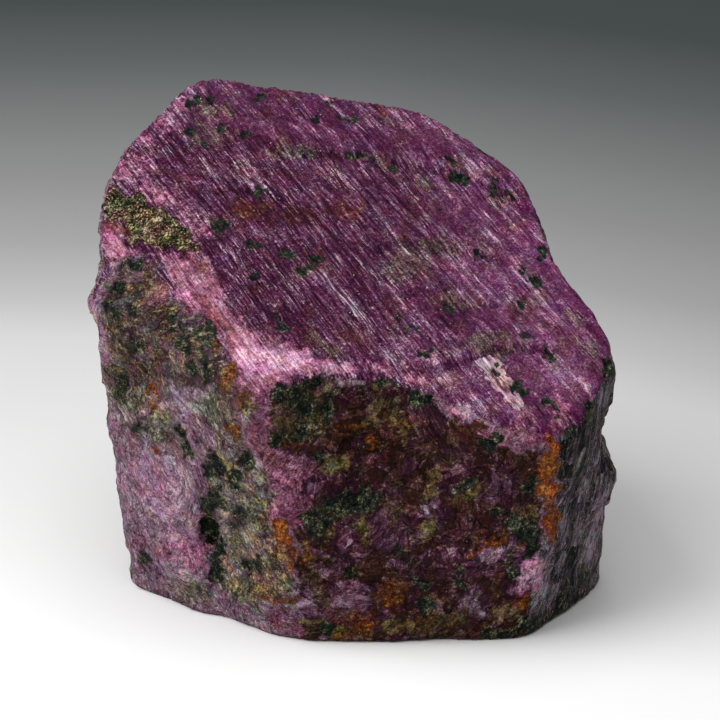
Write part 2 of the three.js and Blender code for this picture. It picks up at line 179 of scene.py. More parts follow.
WALL_OLIVE = [
    (0.85, 130, 291, 8, 11), (0.7, 108, 284, 10, 8), (0.75, 196, 332, 12, 10), (0.75, 166, 416, 9, 6),
    (0.85, 225, 560, 20, 14), (0.7, 246, 540, 14, 18), (0.7, 236, 500, 26, 22), (0.8, 232, 472, 16, 14),
    (0.7, 266, 486, 7, 26, 20), (0.7, 200, 592, 16, 7, -50), (0.5, 178, 442, 14, 16),
    (0.7, 270, 560, 16, 14), (0.7, 311, 404, 14, 16), (0.65, 285, 424, 12, 8, 30),
    (1.1, 333, 464, 18, 8, 12), (0.95, 381, 405, 13, 6, 18), (0.75, 368, 421, 14, 5, 28),
    (0.75, 345, 508, 14, 12), (0.8, 362, 526, 6, 11), (0.95, 435, 476, 11, 6, 22), (0.7, 430, 490, 12, 6),
    (0.7, 428, 530, 7, 13), (0.65, 470, 494, 24, 7, 30), (0.9, 530, 513, 9, 6), (0.85, 450, 620, 16, 9),
    (0.7, 396, 625, 22, 9), (0.8, 312, 626, 12, 7), (0.55, 508, 610, 20, 8), (0.8, 342, 632, 14, 7),
    (0.7, 245, 408, 9, 12),
]
WALL_RUST = [
    (0.55, 392, 592, 16, 26), (0.5, 345, 618, 36, 12), (0.5, 420, 622, 30, 8), (0.5, 262, 530, 10, 24, 20),
    (1.1, 219, 318, 32, 8, -54), (1.0, 238, 338, 18, 5, -54), (1.1, 196, 264, 16, 5, -42),
    (0.8, 206, 292, 10, 14, -54), (1.2, 118, 231, 16, 4, -18), (0.95, 152, 387, 9, 6),
    (0.7, 155, 406, 5, 11, 15), (0.85, 213, 340, 5, 16), (0.8, 228, 376, 7, 20), (0.7, 244, 402, 10, 10),
    (0.95, 233, 429, 7, 8), (0.75, 157, 452, 9, 7), (1.1, 282, 534, 9, 16, 35), (0.85, 276, 554, 8, 8),
    (0.7, 290, 560, 8, 14), (0.85, 269, 596, 12, 7), (0.75, 292, 600, 12, 8), (0.85, 306, 552, 8, 14),
    (0.6, 296, 440, 12, 7), (0.9, 370, 441, 9, 6, 10), (1.3, 549, 437, 6, 8), (1.4, 552, 452, 6, 10, -25),
    (1.1, 547, 470, 9, 18), (1.5, 549, 491, 8, 9), (1.1, 551, 518, 7, 24), (0.95, 362, 630, 11, 9, 20),
    (0.8, 340, 636, 11, 6), (0.9, 486, 547, 24, 3.6, 42), (0.8, 522, 601, 12, 10),
    (0.5, 350, 428, 22, 8, 10), (0.45, 402, 425, 30, 12, 18),
]
WALL_GREY = [
    (0.4, 130, 310, 50, 40), (0.8, 130, 375, 30, 50), (0.7, 150, 430, 34, 20), (0.8, 215, 410, 26, 22),
    (1.0, 258, 515, 12, 18), (1.2, 284, 580, 10, 9), (0.9, 236, 538, 10, 14), (0.7, 190, 590, 30, 12),
    (0.8, 240, 590, 30, 14, -20), (0.6, 150, 325, 40, 20), (0.5, 165, 480, 30, 30),
    (0.4, 440, 470, 30, 14, 10), (1.1, 588, 500, 30, 110), (1.2, 121, 252, 5, 5),
]

# Areas of one mineral with a shape of their own, as outlines in the same pixels.
MICA_WEDGE = [
    (113, 188), (121, 193), (132, 195), (145, 193), (152, 204), (163, 210), (175, 217), (184, 230),
    (191, 240), (201, 250), (188, 252), (174, 251), (158, 247), (145, 243), (133, 248), (132, 234),
    (120, 223), (103, 217), (105, 204),
]
BROKEN_SHOULDER = [
    (88, 300), (98, 282), (116, 262), (134, 252), (148, 268), (160, 284), (176, 300), (196, 318),
    (214, 338), (232, 366), (240, 392), (150, 345), (92, 318),
]
LEFT_RIM = [
    (196, 90), (165, 106), (140, 133), (124, 163), (118, 186), (150, 198), (172, 214), (195, 238),
    (212, 244), (214, 232), (190, 204), (168, 186), (158, 168), (160, 142), (182, 116), (206, 100),
]
# The pink rim's front-left end is partly a painted glow of light through the crystal.
PINK_RIM = [
    (160, 250), (184, 256), (200, 260), (222, 290), (252, 338), (290, 343), (320, 360), (345, 364),
    (345, 378), (305, 376), (275, 384), (266, 402), (248, 400), (238, 378), (222, 350), (205, 318),
    (184, 308), (172, 282), (160, 266),
]
OLIVE_MASS = [
    (212, 432), (245, 432), (258, 470), (272, 520), (282, 560), (288, 598), (250, 604), (222, 586),
    (208, 556), (212, 500),
]
MAUVE_EDGE = [
    (240, 402), (262, 398), (285, 440), (300, 500), (302, 534), (280, 525), (262, 470), (245, 432),
]
GREEN_SHOULDER = [
    (104, 286), (118, 266), (140, 256), (158, 262), (168, 290), (200, 318), (222, 340), (232, 388),
    (200, 396), (160, 384), (130, 392), (108, 372), (98, 330),
]
LILAC_FACE = [
    (108, 432), (160, 444), (196, 470), (206, 540), (208, 588), (160, 584), (128, 560),
]
GREEN_CORNER = [
    (270, 382), (330, 376), (352, 386), (338, 402), (334, 432), (318, 446), (300, 442), (285, 452),
    (268, 442), (264, 410),
]
PALE_CHIP = [
    (472, 360), (490, 357), (504, 367), (513, 383), (521, 403), (513, 409), (499, 396), (485, 378),
]
FRONT_MAROON = [
    (268, 372), (305, 372), (345, 384), (402, 384), (440, 402), (482, 420), (500, 446), (540, 452),
    (542, 600), (560, 640), (300, 650), (296, 520), (262, 470),
]

# Lighter and darker places of the same mineral: rows as above, but each starts with how much lighter (or
# darker, below 0) the place is.
SHADES = [
    (0.3, 300, 440, 30, 20, 20), (0.25, 345, 505, 40, 20), (-0.15, 400, 440, 60, 24, 10),
    (-0.3, 392, 470, 24, 20), (0.3, 150, 290, 40, 24, -60), (0.7, 240, 520, 30, 66),
    (0.5, 245, 108, 30, 10, -62), (-0.5, 175, 155, 24, 14, -40), (-0.6, 240, 200, 34, 14, -35),
    (-0.9, 300, 212, 54, 14, -5), (-0.4, 330, 150, 60, 8, -3), (-0.7, 268, 285, 74, 26, -58),
    (-0.4, 350, 270, 70, 20, -58), (-0.5, 400, 210, 60, 20, -50), (-0.3, 390, 170, 50, 10, -50),
    (0.5, 440, 130, 60, 12, -25), (0.5, 490, 190, 40, 14, -60), (0.4, 560, 300, 84, 20, -55),
    (0.3, 520, 300, 60, 34, -50), (0.9, 570, 370, 30, 24, -20), (0.5, 530, 372, 30, 12, -20),
    (0.8, 430, 372, 46, 14, -30), (0.5, 490, 402, 36, 14, -25), (-0.4, 475, 322, 40, 13),
    (0.4, 330, 275, 20, 12, -45), (0.4, 444, 270, 36, 12, -20), (-0.8, 385, 465, 22, 18),
    (-0.2, 430, 440, 40, 14, 10), (0.9, 418, 507, 26, 2.5, 12), (-0.5, 452, 530, 10, 12, 40),
    (0.9, 480, 545, 30, 3, 42), (0.6, 540, 375, 64, 26, -15), (0.4, 500, 318, 40, 24, -10),
    (-0.3, 300, 118, 70, 14, -6), (-0.7, 490, 300, 12, 8, -20), (-0.7, 520, 322, 12, 8, 20),
    (0.35, 440, 175, 60, 40, -40), (0.3, 480, 250, 60, 34, -40), (-0.1, 300, 400, 36, 22),
    (-0.6, 475, 470, 34, 4, 38), (0.5, 390, 640, 80, 5), (-0.4, 362, 430, 26, 10, 15),
    (0.8, 160, 480, 56, 34, -60), (0.25, 400, 335, 70, 24, -10), (0.9, 190, 560, 26, 24),
    (0.5, 235, 530, 24, 50), (-0.6, 205, 500, 7, 34), (0.5, 150, 410, 44, 14, -10),
    (0.5, 195, 402, 30, 16, -40), (0.9, 268, 440, 12, 36, -10), (-0.4, 170, 320, 26, 22, -60),
    # The lighter panel of the right wall, at 596 across and 524 down, is partly a painted sheen.
    (1.2, 596, 524, 12, 44, -8), (0.5, 600, 450, 7, 26, -10), (-0.6, 583, 430, 12, 30),
    (-0.6, 572, 470, 7, 44, -12), (-1.0, 575, 596, 20, 22), (0.6, 566, 545, 6, 40, -4),
]
# Facets of the front wall that are plum rather than brown, each with how much lighter it is.
PLUM_FACETS = [
    (0.2, 420, 525, 28, 17, 25), (0.4, 485, 560, 30, 13, 41), (0.5, 475, 603, 18, 15),
    (0.8, 335, 602, 40, 22), (0.5, 342, 545, 11, 20, -10), (-1.0, 355, 485, 25, 8, -60),
    (0.3, 500, 489, 22, 13, 40), (1.3, 465, 415, 14, 10, -30), (0.8, 450, 555, 13, 13, 50),
    (1.2, 528, 570, 18, 23, 40), (0.4, 380, 530, 10, 18), (0.0, 545, 565, 10, 36),
    (0.0, 445, 480, 22, 10, 30), (0.0, 375, 395, 34, 12), (0.0, 285, 490, 26, 40, -70),
    (0.0, 310, 470, 24, 14), (-0.4, 440, 412, 34, 11, 5),
]

# Slabs of crystal that stand out of the walls, and the broken mouth of the deep socket in the left wall.
WALL_SLABS = [
    (1.0, 488, 554, 34, 11, 41), (0.9, 464, 488, 26, 8, 35), (1.0, 520, 578, 17, 10, 52),
    (0.8, 440, 604, 20, 9, -12), (0.9, 404, 468, 24, 10, 62), (0.8, 360, 560, 22, 12, 20),
    (0.8, 322, 588, 18, 9, 60), (0.9, 350, 424, 30, 9, 20), (0.8, 428, 424, 26, 9, -14),
    (0.7, 384, 600, 14, 20, 10), (0.8, 512, 480, 14, 18, 20), (0.8, 292, 498, 13, 30, -8),
    (0.9, 160, 412, 34, 8, -48), (0.9, 140, 470, 30, 9, -56), (0.8, 172, 500, 26, 9, -60),
    (0.8, 160, 560, 26, 9, -50), (0.8, 226, 420, 24, 8, -58), (0.9, 250, 600, 26, 8, -30),
    (0.8, 132, 350, 20, 9, -20), (0.8, 176, 300, 20, 8, -70),
]
SOCKET_MOUTH = [(1.0, 211, 533, 17, 26)]

# Parting steps of the top face: the face is higher by so many millimetres behind a line, which is given by
# its points in plan from left to right.
TOP_STEPS = [
    (0.6, [(-27, 25), (-19, 23), (-14.3, 20), (-4, 21.4), (2.4, 22.9), (6.1, 21.1), (15.6, 21.3),
           (23.3, 20), (31, 17.3), (37, 14)]),
    (0.5, [(5, -2.4), (11, 1.6), (16.4, -0.3), (24.6, 0.8), (29, 0)]),
    (0.8, [(12, -29.5), (16, -28.6), (20.2, -26.5), (23.7, -24.5), (31.5, -21.5), (39, -20.9)]),
    (0.35, [(-33, 8), (-26, 7.5), (-21, 9), (-13, 8)]),
    (0.35, [(8, -13), (14, -11.5), (21, -14), (28, -12), (33, -13)]),
]


def tone(red, green, blue):
    """A display colour, 0 to 255 each, as the linear colour that a shader wants."""
    shares = (channel / 255.0 for channel in (red, green, blue))
    linear = [c / 12.92 if c <= 0.04045 else ((c + 0.055) / 1.055) ** 2.4 for c in shares]
    return (*linear, 1.0)


def ease(value, low, high):
    """0 below `low`, 1 above `high`, and smooth between them."""
    share = np.clip((value - low) / (high - low), 0.0, 1.0)
    return share * share * (3.0 - 2.0 * share)


# ---- The fine mesh, in millimetres ----

CELL = 0.51
CELL_STRETCH = 2.0
SMOOTHING_ROUNDS = 8
BASE_HEIGHT = 0.12


def fine_mesh():
    """The CAD stone as an even fine mesh in millimetres, its cells lying along the striations."""
    turn = Matrix((ACROSS, STRIATION, TOP_NORMAL)).to_4x4()
    stretch = Matrix.Diagonal((1.0, 1.0 / CELL_STRETCH, 1.0, 1.0))
    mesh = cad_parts[NODE].data.copy()
    mesh.transform(stretch @ turn @ Matrix.Scale(1.0 / MM, 4))
    carrier = bpy.data.objects.new("carrier", mesh)
    scene.collection.objects.link(carrier)
    remesh = carrier.modifiers.new("even", "REMESH")
    remesh.mode = "VOXEL"
    remesh.voxel_size = CELL
    depsgraph = bpy.context.evaluated_depsgraph_get()
    fine = bpy.data.meshes.new_from_object(carrier.evaluated_get(depsgraph))
    bpy.data.objects.remove(carrier)
    fine.transform((stretch @ turn).inverted())
    return fine


def read(items, name, kind=float, width=1):
    """One property of all the vertices, edges, corners or faces of a mesh."""
    flat = np.empty(len(items) * width, dtype=kind)
    items.foreach_get(name, flat)
    return flat.reshape(-1, width) if width > 1 else flat


def write_points(mesh, points):
    """Moves the vertices of a mesh."""
    mesh.vertices.foreach_set("co", points.ravel())
    mesh.update()


def smooth(values, edges, rounds):
    """Averages each vertex's values with its neighbours', a few times over."""
    count = len(values)
    degree = np.bincount(edges.ravel(), minlength=count).astype(float)[:, None]
    table = values.reshape(count, -1).astype(float)
    for _ in range(rounds):
        total = np.empty_like(table)
        for column in range(table.shape[1]):
            here = table[:, column]
            total[:, column] = np.bincount(edges[:, 0], here[edges[:, 1]], count)
            total[:, column] += np.bincount(edges[:, 1], here[edges[:, 0]], count)
        table = 0.5 * table + 0.5 * total / degree
    return table.reshape(values.shape)


# ---- Noise on the mesh ----

SEED_STEP = np.array([13.7, 29.3, 7.9])


def noise_spots(points, size, seed):
    """Where a noise of one size and one seed is read for each point."""
    return (points / size + seed * SEED_STEP).tolist()


def lumps(points, size, seed):
    """Smooth noise, about -1 to 1, with lumps of `size` millimetres."""
    return np.array([noise.noise(spot) for spot in noise_spots(points, size, seed)])


def streaks(points, direction, width, length, seed):
    """Smooth noise, about -1 to 1, drawn out along a direction."""
    direction = np.array(direction)
    along = points @ direction
    drawn_out = points / width - np.outer(along * (1.0 / width - 1.0 / length), direction)
    return lumps(drawn_out, 1.0, seed)


def chips(points, size, seed):
    """Flat facets, each tilted its own way, that meet in small steps: about -1 to 1."""
    heights = []
    for spot in noise_spots(points, size, seed):
        centre = noise.voronoi(spot)[1][0]
        tilt = noise.cell_vector(centre) * 2.0 - Vector((1.0, 1.0, 1.0))
        heights.append((Vector(spot) - centre).dot(tilt))
    return np.array(heights)


def cell_steps(points, size, seed):
    """Two random values, -1 to 1, that are the same all over each angular cell."""
    steps = [noise.cell_vector(noise.voronoi(spot)[1][0])[:2] for spot in noise_spots(points, size, seed)]
    return 2.0 * np.array(steps) - 1.0


# ---- Where things are ----

# Between which two cosines a face becomes part of the top, of the underside, and of what the camera sees.
TOP_COSINES = (0.68, 0.86)
UNDER_COSINES = (-0.9, -0.5)
SEEN_COSINES = (0.02, 0.2)
# How many degrees off its own way a wall ends, and how far to the right the right wall starts.
LEFT_SPREAD = 36.0
RIGHT_SPREAD = 62.0
RIGHT_WALL_MM = (28.0, 38.0)
# Where the share of a patch falls from 1 to 0, in parts of its half size, and how far coarse and fine lumps
# make its edge wander, in pixels.
PATCH_EDGE = (0.45, 1.55)
COARSE_WANDER = 5.0
FINE_WANDER = 2.5
# How much of what is strewn by chance also lies on the side that the camera sees, where the patches above
# already place most of it, and how much of the other minerals is missing from the grey right wall.
SEEN_SCATTER = 0.6
RIGHT_CLEAN = 0.35


def most(*shares):
    """The largest of several shares, vertex by vertex."""
    return np.maximum.reduce(shares)


class Surface:
    """The bare stone's surface, vertex by vertex, and what lies where on it."""

    def __init__(self, mesh):
        self.points = read(mesh.vertices, "co", width=3)
        self.normals = read(mesh.vertex_normals, "vector", width=3)
        self.top = ease(self.normals @ np.array(TOP_NORMAL), *TOP_COSINES)
        self.wall = (1.0 - self.top) * ease(self.normals[:, 2], *UNDER_COSINES)
        self.left = self.facing(LEFT_FACING, LEFT_SPREAD) * self.wall
        self.right = self.facing(RIGHT_FACING, RIGHT_SPREAD) * self.wall
        self.right *= ease(self.points[:, 0], *RIGHT_WALL_MM)
        towards = np.array(CAMERA_PLACE_MM) - self.points
        distance = np.linalg.norm(towards, axis=1)
        self.seen = ease(np.einsum("ij,ij->i", towards, self.normals) / distance, *SEEN_COSINES)
        self.hidden = 1.0 - self.seen
        pixels = IMAGE_SIDE * LENS_MM / SENSOR_MM / (towards @ np.array(CAMERA_BACK))
        jolt = 3.0 * cell_steps(self.points, 1.15, 5) + 2.5 * cell_steps(self.points, 2.3, 6)
        self.across = IMAGE_SIDE / 2 - pixels * towards[:, 0] + jolt[:, 0] + self.wander(1)
        self.down = IMAGE_SIDE / 2 + pixels * (towards @ np.array(CAMERA_UP)) + jolt[:, 1] + self.wander(3)

    def facing(self, degrees, spread):
        """How far each vertex faces one way of the plan: 1 there, 0 when it is turned `spread` off it."""
        turned = np.degrees(np.arctan2(self.normals[:, 1], self.normals[:, 0])) - degrees
        off = np.abs((turned + 180.0) % 360.0 - 180.0)
        return 1.0 - ease(off, 0.5 * spread, spread)

    def wander(self, seed):
        """How many pixels a vertex's place is shifted by, so that patches and outlines get ragged edges."""
        coarse = COARSE_WANDER * lumps(self.points, 3.2, seed)
        return coarse + FINE_WANDER * lumps(self.points, 1.4, seed + 1)

    def patch(self, x, y, half_length, half_width, turn=0.0):
        """How far inside one patch each vertex lies: half on its edge, and more than that within."""
        lean = math.radians(turn)
        right = self.across - x
        up = y - self.down
        along = (right * math.cos(lean) + up * math.sin(lean)) / half_length
        aside = (up * math.cos(lean) - right * math.sin(lean)) / half_width
        return self.seen * (1.0 - ease(np.hypot(along, aside), *PATCH_EDGE))

    def patches(self, rows):
        """How far inside the nearest patch each vertex lies."""
        return most(*(solid * self.patch(*shape) for solid, *shape in rows))

    def area(self, outline, softness):
        """How far inside an outline each vertex lies: half on its edge, 1 well within, 0 well outside."""
        nearest = np.full(len(self.across), np.inf)
        inside = np.zeros(len(self.across), dtype=bool)
        for (x0, y0), (x1, y1) in zip(outline, outline[1:] + outline[:1]):
            right = self.across - x0
            below = self.down - y0
            run, drop = x1 - x0, y1 - y0
            share = np.clip((right * run + below * drop) / (run * run + drop * drop), 0.0, 1.0)
            nearest = np.minimum(nearest, np.hypot(right - share * run, below - share * drop))
            if drop:
                inside ^= ((y0 > self.down) != (y1 > self.down)) & (right < below * run / drop)
        return self.seen * ease(np.where(inside, nearest, -nearest), -softness, softness)

    def strewn(self, size, seed, amount):
        """A mineral strewn by chance, on about `amount` of the hidden surface and less of the seen one."""
        coarse = lumps(self.points, size, seed) + 0.6 * lumps(self.points, size / 2.3, seed + 1)
        return np.clip(amount + 0.55 * coarse, 0.0, 1.0) * (1.0 - (1.0 - SEEN_SCATTER) * self.seen)


# How ragged a parting step is, over how many millimetres it rises, dies out at its ends and sinks away
# behind, and how dark the painted shade at its foot and how pale the painted highlight on its edge is.
STEP_RAGGED = 0.8
STEP_RUN = 0.5
STEP_FADE = 3.0
STEP_SINKS = (4.0, 12.0)
STEP_PAINTED_SHADE = 2.4
STEP_PAINTED_HIGHLIGHT = 1.2
STEP_LINE = 0.8


def parting_steps(points):
    """The height of the small parting steps that cross the top, and the painted light and shade that go with
    them: painted shade at the foot of each, and a painted highlight along its raised edge."""
    ragged = STEP_RAGGED * (lumps(points, 2.6, 51) + 0.5 * lumps(points, 0.9, 52))
    height = np.zeros(len(points))
    shade = np.zeros(len(points))
    for rise, line in TOP_STEPS:
        xs, ys = zip(*line)
        behind = points[:, 1] + ragged - np.interp(points[:, 0], xs, ys)
        begun = ease(points[:, 0], xs[0] - STEP_FADE, xs[0])
        rise = rise * begun * (1.0 - ease(points[:, 0], xs[-1], xs[-1] + STEP_FADE))
        height += rise * (1.0 - ease(behind, *STEP_SINKS)) * ease(behind, 0.0, STEP_RUN)
        # Painted shade at the foot of the step, and a painted highlight along its raised edge.
        shade -= STEP_PAINTED_SHADE * rise * np.exp(-((behind + 0.5) / STEP_LINE) ** 2)
        shade += STEP_PAINTED_HIGHLIGHT * rise * np.exp(-((behind - 1.2) / STEP_LINE) ** 2)
    return height, shade


def mineral_masks(surface):
    """The share of each mineral on each vertex: a half is the edge of its patches."""
    top = surface.top
    wall = surface.wall
    hidden = surface.hidden
    wedge = surface.area(MICA_WEDGE, 3.0)
    left_rim = surface.area(LEFT_RIM, 7.0)
    pink_rim = surface.area(PINK_RIM, 5.0)
    mauve = surface.area(MAUVE_EDGE, 6.0)
    lilac = surface.area(LILAC_FACE, 12.0)
    green = surface.area(GREEN_SHOULDER, 8.0)
    corner = surface.area(GREEN_CORNER, 8.0)
    olive = surface.area(OLIVE_MASS, 8.0)
    rim = surface.patches(RIM_PALE)
    masks = {"top": top * (1.0 - most(surface.area(BROKEN_SHOULDER, 4.0), wedge)), "wedge": wedge}
    masks["dark"] = most(
        surface.patches(TOP_INCLUSIONS) * top,
        surface.patches(WALL_DARK),
        0.36 * green,
        0.4 * corner,
        0.28 * olive,
        surface.strewn(7.0, 11, 0.22) * wall,
        surface.strewn(15.0, 13, 0.2) * wall * hidden,
        surface.strewn(5.0, 17, 0.08) * top * hidden,
    )
    masks["olive"] = most(
        surface.patches(WALL_OLIVE),
        0.62 * olive,
        0.44 * green,
        0.32 * corner,
        surface.strewn(9.0, 23, 0.25) * wall * (1.0 - lilac) * (1.0 - mauve),
        surface.strewn(17.0, 27, 0.24) * wall * hidden,
    )
    masks["moss"] = top * most(surface.patches(TOP_MOSS), surface.strewn(10.0, 29, 0.2) * hidden)
    masks["rust"] = most(
        surface.patches(WALL_RUST),
        surface.patches(TOP_RUST) * top,
        0.34 * mauve,
        surface.strewn(6.5, 31, 0.14) * wall,
    )
    masks["pale"] = most(
        surface.patches(TOP_PALE) * top,
        rim,
        0.45 * pink_rim,
        0.62 * left_rim,
        surface.patches(WALL_PALE) * wall,
        surface.strewn(6.0, 37, 0.12) * wall,
    )
    masks["pink"] = most(
        surface.patches(WALL_PINK),
        rim,
        0.85 * pink_rim,
        0.45 * left_rim,
        0.6 * mauve,
        0.3 * lilac,
        surface.strewn(12.0, 41, 0.3) * wall * (1.0 - 0.4 * surface.seen),
    )
    masks["grey"] = most(surface.patches(WALL_GREY), surface.strewn(14.0, 43, 0.45) * wall)
    masks["grey"] *= 1.0 - 0.7 * most(lilac, mauve)
    masks["chip"] = surface.area(PALE_CHIP, 2.5)
    masks["plum"] = most(surface.patches([(1.0, *shape) for _, *shape in PLUM_FACETS]), 0.7 * green)
    masks["maroon"] = most(surface.area(FRONT_MAROON, 9.0), 0.6 * green)
    masks["left"] = surface.left
    masks["right"] = surface.right
    for name in ("dark", "olive", "pink", "rust"):
        masks[name] = masks[name] * (1.0 - RIGHT_CLEAN * surface.right)
    return masks


def shade_mask(surface, step_shade):
    """How much lighter or darker each place is than its mineral commonly is, with the painted shade and
    highlights of the parting steps on the top.
    """
    shade = sum(change * surface.patch(*shape) for change, *shape in SHADES + PLUM_FACETS)
    clouds = 1.2 * lumps(surface.points, 13.0, 53) + 0.8 * lumps(surface.points, 5.0, 54)
    return shade + step_shade * surface.top + clouds * surface.hidden


# ---- Relief: heights and depths in millimetres ----

TERRACE_RISE = 0.3
RIB_DEPTH = 0.2
FINE_RIB_DEPTH = 0.13
POCK_DEPTH = 0.3
INCLUSION_DEPTH = 0.45
BLADE_DEPTH = 0.16
CHIP_DEPTH = 0.42
SMALL_CHIP_DEPTH = 0.2
HIDDEN_CHIP_DEPTH = 0.75
GROOVE_DEPTH = 0.55
FIBRE_DEPTH = 0.12
MICA_DEPTH = 0.25
SLAB_RISE = 0.55
SOCKET_DEPTH = 0.8
# Between which two heights above the base the relief sets in, and how far it stays inside the CAD box.
RELIEF_SETS_IN = (0.1, 1.2)
BOX_MARGIN = 0.01


def top_relief(surface, masks, step_height):
    """Terraces and ribs along the striations, parting steps, pocks, and hollows at the inclusions."""
    points = surface.points
    terraces = ease((4.0 * streaks(points, STRIATION, 3.2, 30.0, 61)) % 1.0, 0.35, 0.6)
    ribs = 1.0 - 2.0 * np.abs(streaks(points, STRIATION, 1.15, 20.0, 62))
    height = step_height + TERRACE_RISE * terraces + RIB_DEPTH * ribs
    height += FINE_RIB_DEPTH * streaks(points, STRIATION, 0.62, 9.0, 63) + 0.18 * lumps(points, 5.0, 64)
    height -= POCK_DEPTH * ease(lumps(points, 1.7, 65), 0.42, 0.62)
    height -= INCLUSION_DEPTH * ease(masks["dark"], 0.45, 0.85)
    height += 0.12 * ease(masks["pale"], 0.4, 0.8) * lumps(points, 0.8, 66)
    height += BLADE_DEPTH * ease(masks["wedge"], 0.4, 0.7) * chips(points, 1.8, 67)
    return height


def wall_relief(surface, masks):
    """Chipped facets and slabs, grooves on the right wall, swirling fibres on the left one, and hollows at
    the mica."""
    points = surface.points
    height = 0.4 * lumps(points, 6.0, 71) + 0.22 * lumps(points, 2.3, 72)
    chipped = CHIP_DEPTH * chips(points, 4.4, 73) + SMALL_CHIP_DEPTH * chips(points, 2.0, 74)
    height += chipped * (1.0 - 0.6 * surface.right)
    height += HIDDEN_CHIP_DEPTH * chips(points, 9.0, 80) * surface.hidden
    grooves = 0.5 - np.abs(streaks(points, RIGHT_FIBRES, 2.1, 26.0, 75))
    height += GROOVE_DEPTH * grooves * surface.right
    swirl = points + np.outer(lumps(points, 9.0, 76), np.array((1.5, 1.5, 0.0)))
    fibres = 0.5 - np.abs(streaks(swirl, LEFT_FIBRES, 0.95, 10.0, 77))
    height += FIBRE_DEPTH * fibres * surface.left
    height += SLAB_RISE * ease(surface.patches(WALL_SLABS), 0.4, 0.6)
    height += SOCKET_DEPTH * surface.patches(SOCKET_MOUTH) * chips(points, 2.6, 79)
    height -= MICA_DEPTH * ease(masks["dark"], 0.5, 0.9)
    height += 0.15 * ease(masks["rust"], 0.5, 0.9) * lumps(points, 0.9, 78)
    return height


def flattened(points, on_base):
    """The points with the underside flat and nothing below it."""
    points[on_base, 2] = 0.0
    points[:, 2] = np.maximum(points[:, 2], 0.0)
    return points


def shape_stone(surface, height, edges):
    """The points of the stone with all its relief, still inside the CAD stone's own box."""
    height = 0.5 * smooth(height, edges, 1) + 0.5 * height
    height *= ease(surface.points[:, 2], *RELIEF_SETS_IN)
    points = surface.points + surface.normals * height[:, None]
    low, high = (np.array(corner) / MM for corner in cad_box)
    return np.clip(points, low + BOX_MARGIN, high - BOX_MARGIN)


# ---- The map for the finished textures, in millimetres ----

MAP_SIDE = 302.0
MAP_GAP = 3.0
# How far up the map the rear walls and the top start, and where the shrunk base has its middle.
MAP_REAR_UP = 90.0
MAP_TOP_UP = 184.0
MAP_BASE_MIDDLE = (218.4, 216.4)
MAP_BASE_SCALE = 0.7
WALL_SLICES = 72
FULL_TURN = 2.0 * math.pi


def way_round(points):
    """Directions from the rear left and anticlockwise, and how long the wall is up to each, millimetres."""
    slices = np.linspace(-math.pi, math.pi, WALL_SLICES + 1)
    radius = np.hypot(points[:, 0], points[:, 1])
    found = np.digitize(np.arctan2(points[:, 1], points[:, 0]), slices) - 1
    mean = np.array([radius[found == index].max(initial=1.0) for index in range(WALL_SLICES)])
    return slices, np.concatenate([[0.0], np.cumsum(mean * np.diff(slices))])


def lay_out_map(mesh, surface):
    """A UV map with the top, the front walls, the rear walls and the base side by side."""
    slices, run = way_round(surface.points[surface.wall > 0.5])
    loops = read(mesh.loops, "vertex_index", np.int64)
    starts = read(mesh.polygons, "loop_start", np.int64)
    sizes = read(mesh.polygons, "loop_total", np.int64)
    spots = surface.points[loops]

    def face_mean(values):
        return np.repeat(np.add.reduceat(values, starts) / sizes, sizes)

    on_top = face_mean(surface.top[loops]) > 0.5
    below = face_mean((spots[:, 2] < 0.05).astype(float)) > 0.99
    centre = np.arctan2(face_mean(spots[:, 1]), face_mean(spots[:, 0]))
    front = centre < 0.0
    turned = np.arctan2(spots[:, 1], spots[:, 0])
    turned = centre + (turned - centre + math.pi) % FULL_TURN - math.pi
    away = np.interp(turned, slices, run)
    u = MAP_GAP + np.where(front, away, away - np.interp(0.0, slices, run))
    v = spots[:, 2] + np.where(front, MAP_GAP, MAP_REAR_UP)
    top_u = spots @ np.array(ACROSS)
    top_v = spots @ np.array(STRIATION)
    u = np.where(on_top, top_u - top_u[on_top].min() + MAP_GAP, u)
    v = np.where(on_top, top_v - top_v[on_top].min() + MAP_TOP_UP, v)
    u = np.where(below, MAP_BASE_SCALE * spots[:, 0] + MAP_BASE_MIDDLE[0], u)
    v = np.where(below, MAP_BASE_SCALE * spots[:, 1] + MAP_BASE_MIDDLE[1], v)
    flat = np.stack([u, v], axis=1) / MAP_SIDE
    mesh.uv_layers.new(name="OFBake").uv.foreach_set("vector", flat.astype(np.float32).ravel())


def close_base(mesh):
    """The flat underside as one face."""
    work = bmesh.new()
    work.from_mesh(mesh)
    under = [face for face in work.faces if all(vertex.co.z < 1e-6 for vertex in face.verts)]
    bmesh.ops.dissolve_faces(work, faces=under)
    for face in work.faces:
        face.smooth = len(face.verts) < 5
    loose = [vertex for vertex in work.verts if not vertex.link_faces]
    bmesh.ops.delete(work, geom=loose, context="VERTS")
    work.to_mesh(mesh)
    work.free()


